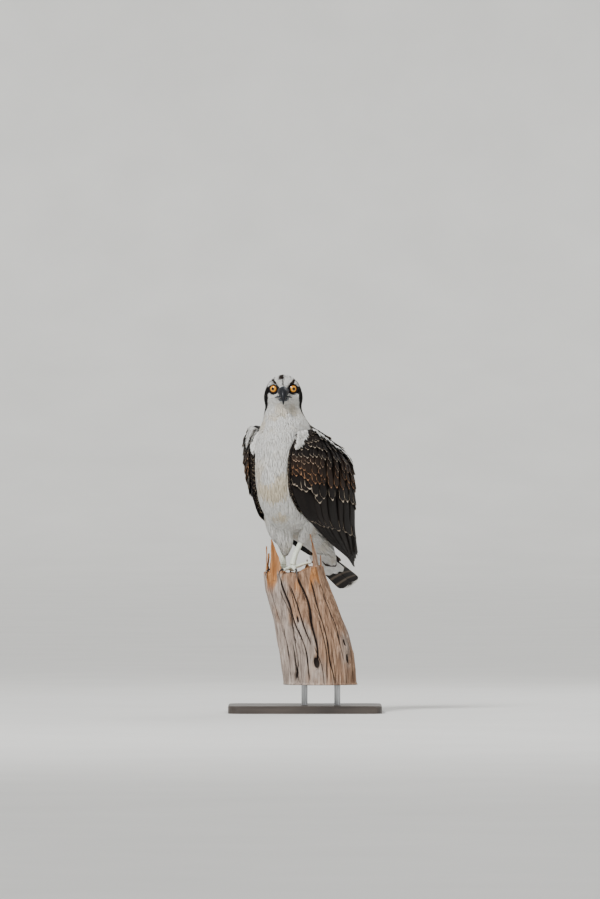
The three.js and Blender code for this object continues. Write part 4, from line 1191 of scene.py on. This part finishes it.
def build_front_edge(side, core):
    """Small feathers round the wing's front edge, from the breast on to its outer side."""
    rng = np.random.default_rng(60 + side)
    tree = tree_over(core)
    node = wing_node(side)
    count = 900
    along = rng.uniform(0, 0.52, count)
    around = rng.uniform(-0.8, 2.0, count)
    across = np.where(around < 0, -0.06 * around, 0.0)
    across = np.where(around > 1, 0.16 * (around - 1), across)
    outer = looked_up(WING_GRID, along, across) - 3.0 * looked_up(WING_NORMAL, along, across)
    inward = EDGE_DEPTH * clamp01(around)[:, None] * looked_up(WING_NORMAL, along, across)
    roots = on_side(outer - inward, side, along)
    name = node.replace("wing", "shoulder")
    body_coat(name, node, tree, roots, 15, 7, 5, 5, (1.2, 1.0), 61 + side, edge_paint(side))
    # Breast feathers over the upper corner, then the pale line between the mantle and the wing
    corner = 420
    lines = 46
    share = np.linspace(0, 1, lines)
    line_across = np.interp(share, [0, 0.35, 0.65, 1], [0.26, 0.46, 0.58, 0.64])
    along = np.concatenate([
        rng.uniform(0, 0.12, corner), mix(0.0, 0.24, share) + rng.normal(0, 0.003, lines)])
    across = np.concatenate([
        rng.uniform(0, 0.15, corner), line_across + rng.normal(0, 0.005, lines)])
    limit = 0.15 * (1 - along / 0.12) + rng.normal(0, 0.012, corner + lines)
    limit[corner:] = 1
    kept = across < limit
    along, across = along[kept], across[kept]
    roots = on_side(looked_up(WING_GRID, along, across), side, along)
    body_coat(
        name + "_line", node, tree, roots, 13, 4.2, 5, 3, (7.4, 1.2), 63 + side,
        lambda points: np.broadcast_to(WHITE * 0.95, points.shape))


def build_wing(side):
    rng = np.random.default_rng(40 + side)
    build_front_edge(side, wing_core(side))
    first = 0
    for tier in WING_TIERS:
        wing_tier(side, tier, rng, first)
        first += tier.number


# Tail: twelve feathers, the middle pair on top

TAIL_ROOT = np.array([3.0, 112.0, 46.0])
TAIL_SLOPE = math.radians(22)
TAIL_SWING = math.radians(3)
TAIL_ROLL = math.radians(-38)
TAIL_LENGTH = 208
TAIL_HALF = (22, 21)
TAIL_WIDTH = 26
TAIL_FEATHERS = 12


def tail_points(along, out, above):
    y = along * TAIL_LENGTH
    z = above - 0.006 * out * out
    roll = TAIL_ROLL * along
    x, z = out * np.cos(roll) + z * np.sin(roll), -out * np.sin(roll) + z * np.cos(roll)
    c, s = math.cos(-TAIL_SLOPE), math.sin(-TAIL_SLOPE)
    y, z = y * c - z * s, y * s + z * c
    points = np.stack([x, y, z], axis=-1)
    return turned(points, TAIL_SWING) + TAIL_ROOT


def build_tail():
    rng = np.random.default_rng(5)
    order = np.arange(TAIL_FEATHERS) - (TAIL_FEATHERS - 1) / 2
    share = order / order[-1]
    level = 5 - 1.6 * (np.abs(order) - 0.5) - np.where(order < 0, 0.8, 0)
    reach = 1 - (1 - np.linspace(0, 1, 44)) ** 1.1
    u = np.linspace(-1, 1, 9)
    along = mix(0.1, (1 - 0.09 * share ** 2)[:, None], reach[None])
    half = TAIL_WIDTH / 2 * profile([(0, 0.6), (0.3, 0.9), (0.85, 1), (0.95, 0.85), (1, 0.5)])(reach)
    spread = mix(TAIL_HALF[0], TAIL_HALF[1], along) - TAIL_WIDTH * 0.42
    out = (share[:, None] * spread)[..., None] + half[None, :, None] * u
    held = along[..., None] - 0.03 * (u ** 2) * (reach ** 8)[None, :, None]
    lift = (level[:, None] * mix(0.35, 1, np.sqrt(reach))[None])[..., None] + 0.5 * (1 - u ** 2)
    top = tail_points(held, out, lift)
    normal = unit(tail_points(held, out, lift + 1) - top)
    length = np.full((TAIL_FEATHERS, 1, 1), TAIL_LENGTH * 0.9)
    rim = rim_values(reach[None, :, None], 0 * u[None, None], length, 60.0)
    bars = 0.5 + 0.5 * np.sin(2 * np.pi * (along * TAIL_LENGTH / 27 + 0.3))
    pale = np.array([0.1, 0.08, 0.062])
    barred = smooth(0.78, 0.95, bars) * smooth(0.97, 0.9, reach)[None]
    tint = mix(BLACK_VANE, pale, barred[..., None])[:, :, None]
    tint = np.broadcast_to(tint, top.shape) * rng.uniform(0.85, 1.15, (TAIL_FEATHERS, 1, 1, 1))
    edge = edges(TAIL_FEATHERS, WHITE * 0.95, 0.5)
    uv = vane_patches(np.arange(TAIL_FEATHERS), 4, u, reach, 0.01, 0.1, 0.22)
    vanes("tail_feathers", "tail", top, normal, 0.5, tint, edge, rim, uv, FLIGHT_FEATHER)


def build_tail_coverts():
    """White feathers over and under the root of the tail."""
    rng = np.random.default_rng(9)
    columns, rows = 5, 8
    shares = np.array([
        (along + rng.uniform(-0.02, 0.02), out, face)
        for along in np.linspace(-0.05, 0.14, 6) for out in np.linspace(-0.7, 0.7, 8)
        for face in (-1, 1)])
    shares[:, 0] += np.where(shares[:, 2] < 0, 0.13, 0.06)
    count = len(shares)
    reach = np.linspace(0, 1, rows)
    u = np.linspace(-1, 1, columns)
    length = rng.uniform(0.22, 0.3, count)
    along = shares[:, :1] + length[:, None] * reach[None]
    spread = mix(TAIL_HALF[0], TAIL_HALF[1], clamp01(along)) * 0.95
    half = 8.5 * np.interp(reach, [0, 0.4, 0.8, 1], [0.5, 1, 0.9, 0.3])
    out = (shares[:, 1:2] * spread)[..., None] + half[None, :, None] * u
    thick = mix(7, 6, clamp01(along / 0.5)) + 1.5 * reach[None]
    above = shares[:, 2:3] * thick
    held = np.broadcast_to(along[..., None], out.shape)
    lift = np.broadcast_to(above[..., None], out.shape)
    lift = lift + shares[:, 2, None, None] * 0.8 * (1 - u ** 2)
    top = tail_points(held, out, lift)
    normal = unit(tail_points(held, out, lift + 1) - top)
    under = shares[:, 2] < 0
    base = np.where(under[:, None], WHITE * 0.95, BROWN_VANE * 1.3)
    base = base * rng.uniform(0.88, 1.05, (count, 1))
    tint = np.broadcast_to(base[:, None, None], top.shape)
    edge = edges(count, PALE_TIP, np.where(under, 0, 0.2)[:, None, None])
    lengths = (length * TAIL_LENGTH)[:, None, None]
    rim = rim_values(reach[None, :, None], u[None, None], lengths, 8.5)
    uv = vane_patches(np.arange(count), 16, u, reach, 0.004, 0.026, 0.05)
    vanes("tail_coverts", "tail", top, normal, 0.35, tint, edge, rim, uv, BODY_FEATHER)


# Eyes, bill, legs and claws


def build_eye(side):
    turns = np.linspace(0, 2 * np.pi, 64, endpoint=False)
    polar = np.linspace(0.02, np.pi - 0.02, 48)
    out = EYE_RADIUS * np.sin(polar)
    bulge = 0.7 * np.clip(1 - (out / 6.5) ** 2, 0, 1) * (polar < np.pi / 2)
    forward = EYE_RADIUS * np.cos(polar) + bulge
    axis = eye_axis(side)
    across = np.cross(axis, np.array([0.0, 0.0, 1.0]))
    up = np.array([0.0, 0.0, 1.0])
    centre = EYE_CENTRE * np.array([side, 1, 1])
    rings = (
        centre + forward[:, None, None] * axis
        + (out[:, None] * np.cos(turns))[..., None] * across
        + (out[:, None] * np.sin(turns))[..., None] * up
    )
    points, faces = tube(rings)
    name = "left" if side > 0 else "right"
    obj = new_mesh("eyeball_" + name, to_world(head_to_bird(points)), faces)
    away, along, beside = eye_place(points, side)
    beside = np.where(along > 0, beside, EYE_RADIUS)
    spin = np.stack([away @ across, away @ up], axis=-1) / np.maximum(beside, 0.1)[:, None]
    set_vector(obj, "gaze", np.column_stack([beside, spin]))
    dress(obj, EYE, "eye", "eye_" + name)


UPPER_BILL = [
    (-24, 362, -24, 341.5, 10), (-33, 362, -33, 341.4, 11.2), (-41, 361, -40, 341.3, 10.4),
    (-49, 358.5, -46, 340.5, 8.6), (-55.5, 353, -51, 338.8, 6.8), (-59.5, 345.5, -54, 336.8, 4.9),
    (-61.2, 337.5, -56.5, 333.5, 3.1), (-60.8, 330, -58.4, 329, 1.5),
    (-60.2, 325.6, -59.6, 325.4, 0.5),
]
LOWER_BILL = [
    (-22, 341, -22, 332.5, 9), (-31, 340.9, -31, 332.6, 9.4), (-39, 340.8, -38, 333.6, 8),
    (-46, 339.9, -45, 334, 5.6), (-51, 337.6, -50.5, 333.8, 3), (-53, 335.8, -53, 334.6, 1.2),
]
CERE = np.array([0.04, 0.052, 0.07])
HORN = np.array([0.007, 0.008, 0.011])
GAPE = np.array([0.05, 0.055, 0.062])


def build_bill(name, sections):
    sections = np.array(sections, float)
    keys = np.arange(len(sections))
    steps = np.linspace(0, len(sections) - 1, 60)
    columns = [profile(list(zip(keys, sections[:, k])))(steps)[:, None] for k in range(5)]
    top_y, top_z, bottom_y, bottom_z, half = columns
    turns = np.linspace(0, 2 * np.pi, 48, endpoint=False)[None]
    up = 0.5 + 0.5 * np.sin(turns)
    out = np.sign(np.cos(turns)) * np.abs(np.cos(turns)) ** 0.85
    # The ridge is a little narrower than a round one
    narrow = mix(1.0, 0.82, smooth(0.6, 1.0, up))
    rings = np.stack([half * out * narrow, mix(bottom_y, top_y, up), mix(bottom_z, top_z, up)], -1)
    points, faces = tube(rings)
    slit = np.zeros(len(points))
    for side in (-1, 1):
        away = (points - np.array([side * 9.5, -41.5, 354])) / np.array([5, 3.4, 1.5])
        slit = np.maximum(slit, np.exp(-(away ** 2).sum(axis=1)))
    if name == "bill_upper":
        points[:, 0] *= 1 - 0.3 * slit
    obj = new_mesh(name + "_horn", to_world(head_to_bird(points)), faces)
    back = smooth(-45, -39, points[:, 1])[:, None]
    tint = mix(HORN, CERE, back)
    mouth = np.exp(-((points[:, 2] - 341) / 2.0) ** 2) * smooth(-52, -40, points[:, 1])
    tint = mix(tint, GAPE, 0.8 * mouth[:, None])
    # The nostril slits are painted dark: painted shade of the openings.
    tint = tint * (1 - 0.9 * slit[:, None])
    set_colour(obj, "tint", tint)
    dress(obj, BILL, "bill_horn", name)


def build_gape():
    """The corners of the mouth, from the bill back under the eyes."""
    parts = []
    for side in (-1, 1):
        route = [(side * 7, -37, 341.8), (side * 13, -31.5, 341), (side * 18.5, -25, 339.4)]
        rings = bar(route, lambda t: mix(2.2, 0.4, t), lambda t: mix(1.5, 0.5, t), 14, 12)
        parts.append(tube(rings))
    parts = [(to_world(head_to_bird(points)), faces) for points, faces in parts]
    obj = joined_mesh("gape", parts)
    set_colour(obj, "tint", np.tile(GAPE, (len(obj.data.vertices), 1)))
    dress(obj, BILL, "bill_horn", "head")


def build_legs():
    toes = ("inner", "middle", "outer", "hallux")
    for name in ("left", "right"):
        nodes = ["tarsus_" + name, "foot_" + name]
        obj = smooth_copy("leg_" + name, nodes, 0.0007, 5)
        points = mesh_points(obj)
        place = from_world(points)
        low = smooth(24, 12, place[:, 2])
        centre = np.array([15, -6]) if name == "left" else np.array([-15, 13])
        out = np.linalg.norm(place[:, :2] - centre, axis=1)
        rings = np.sin(mix(place[:, 2] * 1.9, out * 1.9, low))
        depth = 0.16 * rings + 0.5 * (noise(place, 1.8, 7) - 0.5)
        set_points(obj, points + mesh_normals(obj) * depth[:, None] * MILLIMETRE)
        dress(obj, FOOT, "foot_skin", *nodes)
        for toe in toes:
            node = f"claw_{name}_{toe}"
            claw = smooth_copy(node + "_horn", [node], 0.00045, 4)
            dress(claw, CLAW, "claw_horn", node)


# Snag

perch_x = profile([(-PERCH_LENGTH, 31), (-160, 24), (-95, 8), (-29, -15), (0, -21.5)])
# Long cracks seen from the front: turn, how far it wanders, half-width, depth, top and bottom
LONG_CRACKS = [
    (-1.95, 0.1, 2.2, 7, -4, -220), (-1.72, 0.06, 1.5, 5, -20, -150),
    (-1.5, 0.08, 2.0, 7, -2, -200), (-1.3, 0.05, 1.3, 4, -60, -220),
    (-1.12, 0.07, 1.7, 5, -8, -220), (-2.25, 0.12, 2.4, 6, -30, -220),
    (-0.75, 0.06, 1.4, 4, -10, -180), (-0.4, 0.05, 1.8, 5, -40, -220),
    (-2.6, 0.1, 2.0, 6, 0, -220),
]
# Knots: turn, height, radius
KNOTS = [
    (-1.62, -176, 7), (-0.62, -136, 5), (-0.6, -168, 6.5), (-1.9, -92, 4), (1.9, -80, 7),
    (2.6, -150, 6),
]


def build_perch():
    rng = np.random.default_rng(3)
    obj = smooth_copy("snag", ["perch"], 0.0014, 2)
    points = mesh_points(obj)
    place = points * 1000 - PERCH_PLACE
    height = place[:, 2]
    x = place[:, 0] - perch_x(height)
    turn = np.arctan2(place[:, 1], x)
    radius = np.hypot(x, place[:, 1])
    normals = mesh_normals(obj)
    wall = smooth(0.85, 0.5, np.abs(normals[:, 2]))
    bottom = smooth(-PERCH_LENGTH, -PERCH_LENGTH + 5, height)
    # How dark each groove and knot hole is painted, deeper ones darker: painted shade in the hollows.
    crack_shade = np.zeros(len(points))
    depth = np.zeros(len(points))
    cracks = list(LONG_CRACKS)
    for _ in range(60):
        top = rng.uniform(-200, 10)
        cracks.append((
            rng.uniform(-np.pi, np.pi), rng.uniform(0.02, 0.1), rng.uniform(0.7, 1.5),
            rng.uniform(1.5, 4), top, top - rng.uniform(30, 150)))
    for at, wander, half, deep, top, low in cracks:
        phase = rng.uniform(0, 6)
        line = at + wander * np.sin(height / 47 + phase)
        line = line + 0.3 * wander * np.sin(height / 15 + 2 * phase)
        away = np.angle(np.exp(1j * (turn - line))) * radius
        ends = smooth(low - 5, low + 25, height) * smooth(top + 5, top - 20, height)
        groove = np.exp(-((away / half) ** 2)) * ends
        crack_shade = np.maximum(crack_shade, groove * min(1, deep / 4.5))
        depth = np.maximum(depth, groove * deep)
    for at, level, size in KNOTS:
        away = np.hypot(np.angle(np.exp(1j * (turn - at))) * radius, (height - level) * 0.55)
        hole = np.exp(-((away / size) ** 2))
        crack_shade = np.maximum(crack_shade, smooth(0.35, 0.7, hole))
        swell = np.exp(-(((away - 1.9 * size) / (0.8 * size)) ** 2))
        depth = np.maximum(depth, hole * 7) - 1.6 * swell
    grain = np.stack([turn * 70 / 2.6, turn * 0, height / 46], axis=-1)
    ridges = noise(grain, 1.0, 8) + 0.6 * noise(grain * np.array([2.4, 1, 1.7]), 1.0, 9)
    tall = place * np.array([1, 1, 0.3])
    flakes = noise(tall, 7, 10)
    depth = depth + 1.7 * ridges + 1.4 * flakes
    strength = mix(0.3, 1, wall) * bottom
    set_points(obj, points - normals * (depth * strength)[:, None] * MILLIMETRE)
    torn = smooth(-18, 6, height + 12 * (flakes - 0.5))
    inside = smooth(0.2, -0.4, (normals[:, 0] * np.cos(turn) + normals[:, 1] * np.sin(turn)))
    left = smooth(-20, -62, place[:, 0])
    fresh = torn * clamp01(0.25 + 0.75 * inside + 0.45 * left)
    bare = smooth(-70, -10, height) * smooth(0.5, 0.75, noise(tall, 15, 12))
    fresh = np.maximum(fresh, 0.75 * bare)
    grey = smooth(20, -50, x) + 0.4 * smooth(-60, -140, height)
    set_vector(obj, "wood", np.stack([crack_shade * wall, fresh, grey], axis=-1))
    dress(obj, WOOD, "dead_wood", "perch")


# Coat of the body


def hidden_by_wing(points):
    """Places on the trunk that the folded wings cover."""
    places = [
        (side, i, j) for side in (-1, 1) for i in range(0, GRID_ALONG, 4)
        for j in range(0, GRID_ACROSS, 4)]
    tree = KDTree(len(places))
    found = []
    for index, (side, i, j) in enumerate(places):
        at = on_side(WING_GRID[i, j], side, i / (GRID_ALONG - 1))
        tree.insert(at, index)
        found.append((WING_NORMAL[i, j] * np.array([side, 1, 1]), i, j, at))
    tree.balance()
    out = np.zeros(len(points), bool)
    for n, p in enumerate(points):
        _, index, distance = tree.find(p)
        normal, i, j, at = found[index]
        deep = (at - p) @ normal
        inner = 9 < j < GRID_ACROSS - 4 and 3 < i < 170
        out[n] = inner and deep > -1 and distance < 45
    return out


def free_of_face(roots):
    """Places outside the eyes' openings and the bill's root."""
    head = bird_to_head(roots)
    free = np.ones(len(roots), bool)
    for side in (-1, 1):
        along, beside = lid_place(head, side)
        free &= ~((along > -4) & (beside < EYE_OPENING + 0.7))
    bill = (np.abs(head[:, 0]) < 9.5) & (head[:, 1] < -20)
    return free & ~(bill & (head[:, 2] > 335) & (head[:, 2] < 361))


# Spacings of the coat in millimetres, zero where a part of it has no feathers


def head_spacing(p):
    return np.where(p[:, 2] > 322, mix(2.0, 1.45, smooth(-5, -25, bird_to_head(p)[:, 1])), 0)


def neck_spacing(p):
    return np.where((p[:, 2] <= 326) & (p[:, 2] > 270), 2.2, 0)


def trunk_spacing(p):
    return np.where((p[:, 2] <= 278) & (p[:, 2] > 8) & (thigh_side(p) == 0), 2.6, 0)


def thigh_spacing(p):
    return np.where(thigh_side(p) != 0, 2.4, 0)


def build_coat(skin):
    tree = tree_over(skin)
    roots = scattered(skin, head_spacing, 21)
    roots = roots[free_of_face(roots)]
    face = smooth(6, -26, bird_to_head(roots)[:, 1])
    body_coat(
        "coat_head", "torso", tree, roots, mix(9, 5.4, face), mix(3.6, 2.1, face),
        4, 3, (0.6, 0.5), 31)
    roots = scattered(skin, neck_spacing, 22)
    body_coat("coat_neck", "torso", tree, roots, 15, 3.8, 5, 3, (0.7, 0.5), 32)
    roots = scattered(skin, trunk_spacing, 23)
    roots = roots[~hidden_by_wing(roots)]
    height = roots[:, 2]
    body_coat(
        "coat_trunk", "torso", tree, roots, mix(32, 20, smooth(120, 260, height)),
        mix(5.4, 4.4, smooth(150, 260, height)), 6, 3, (0.8, 0.6), 33)
    roots = scattered(skin, thigh_spacing, 24)
    roots = roots[~hidden_by_wing(roots)]
    body_coat(
        "coat_thighs", "torso", tree, roots, mix(17, 22, smooth(60, 100, roots[:, 2])), 4.2,
        5, 3, (0.9, 0.8), 34)


def dress_skin():
    skin = build_skin()
    points = from_world(mesh_points(skin))
    set_colour(skin, "tint", markings(points) * 0.8)
    set_uv(skin, skin_uv(points))
    dress(skin, SKIN, "plumage_white", "torso", "neck", "head", "thigh_left", "thigh_right")
    return skin


# Every piece, in turn

skin = dress_skin()
build_coat(skin)
for wing_side in (-1, 1):
    build_wing(wing_side)
    build_eye(wing_side)
build_tail()
build_tail_coverts()
build_bill("bill_upper", UPPER_BILL)
build_bill("bill_lower", LOWER_BILL)
build_gape()
build_legs()
build_perch()
for stand_node, stand_material in STAND_LOOKS.items():
    NODES[stand_node].data.materials.clear()
    NODES[stand_node].data.materials.append(stand_material)


# Room, lights and camera

# The photo's size and scale, and the point straight ahead of the camera
PICTURE_HEIGHT = 899
PIXEL = 0.00195
LENS = 400
SENSOR = 36
AIM = (-0.00975, -0.05, 0.5139)
BIRD_MIDDLE = (0, 0, 0.45)


def build_room():
    depth = [(-60, 0), (20, 0), (22, 0.3), (24, 1.5), (25, 4), (25, 14)]
    ys, zs = spline([(y, z, 0) for y, z in depth], np.linspace(0, 1, 80))[:, :2].T
    xs = np.linspace(-50, 50, 30)
    sheet = np.stack(np.broadcast_arrays(xs, ys[:, None], np.maximum(zs, 0)[:, None]), axis=-1)
    grid = np.arange(ys.size * xs.size).reshape(ys.size, xs.size)
    floor = new_mesh("floor", sheet.reshape(-1, 3), grid_faces(grid))
    look = Look("pale_floor", Roughness=0.7)
    look.colour(look.ramp(look.texture(3.0), [(0.3, (0.62, 0.62, 0.6)), (0.7, (0.66, 0.66, 0.64))]))
    floor.data.materials.append(look.material)


def add_light(name, place, size, power):
    data = bpy.data.lights.new(name, "AREA")
    data.shape = "DISK"
    data.size = size
    data.energy = power
    light = bpy.data.objects.new(name, data)
    light.location = place
    light.rotation_euler = (Vector(BIRD_MIDDLE) - Vector(place)).to_track_quat("-Z", "Y").to_euler()
    bpy.context.scene.collection.objects.link(light)


def add_sun(name, place, power):
    data = bpy.data.lights.new(name, "SUN")
    data.energy = power
    data.angle = math.radians(12)
    sun = bpy.data.objects.new(name, data)
    sun.rotation_euler = (-Vector(place)).to_track_quat("-Z", "Y").to_euler()
    bpy.context.scene.collection.objects.link(sun)


def add_camera():
    data = bpy.data.cameras.new("camera")
    data.lens = LENS
    data.sensor_fit = "AUTO"
    data.sensor_width = SENSOR
    data.clip_end = 100
    camera = bpy.data.objects.new("camera", data)
    distance = LENS / SENSOR * PICTURE_HEIGHT * PIXEL
    camera.location = (AIM[0], AIM[1] - distance, AIM[2])
    camera.rotation_euler = (math.pi / 2, 0, 0)
    bpy.context.scene.collection.objects.link(camera)
    bpy.context.scene.camera = camera


build_room()
add_light("key", (-1.3, -2.4, 2.4), 1.0, 60)
add_light("fill", (2.2, -1.8, 1.0), 1.8, 12)
add_light("back", (0.8, 1.6, 2.0), 1.2, 25)
add_sun("sun", (-1.1, -1.7, 2.0), 3.0)
world = bpy.data.worlds.new("studio")
world.use_nodes = True
world.node_tree.nodes["Background"].inputs["Color"].default_value = (1, 0.985, 0.96, 1)
world.node_tree.nodes["Background"].inputs["Strength"].default_value = 0.55
bpy.context.scene.world = world
add_camera()
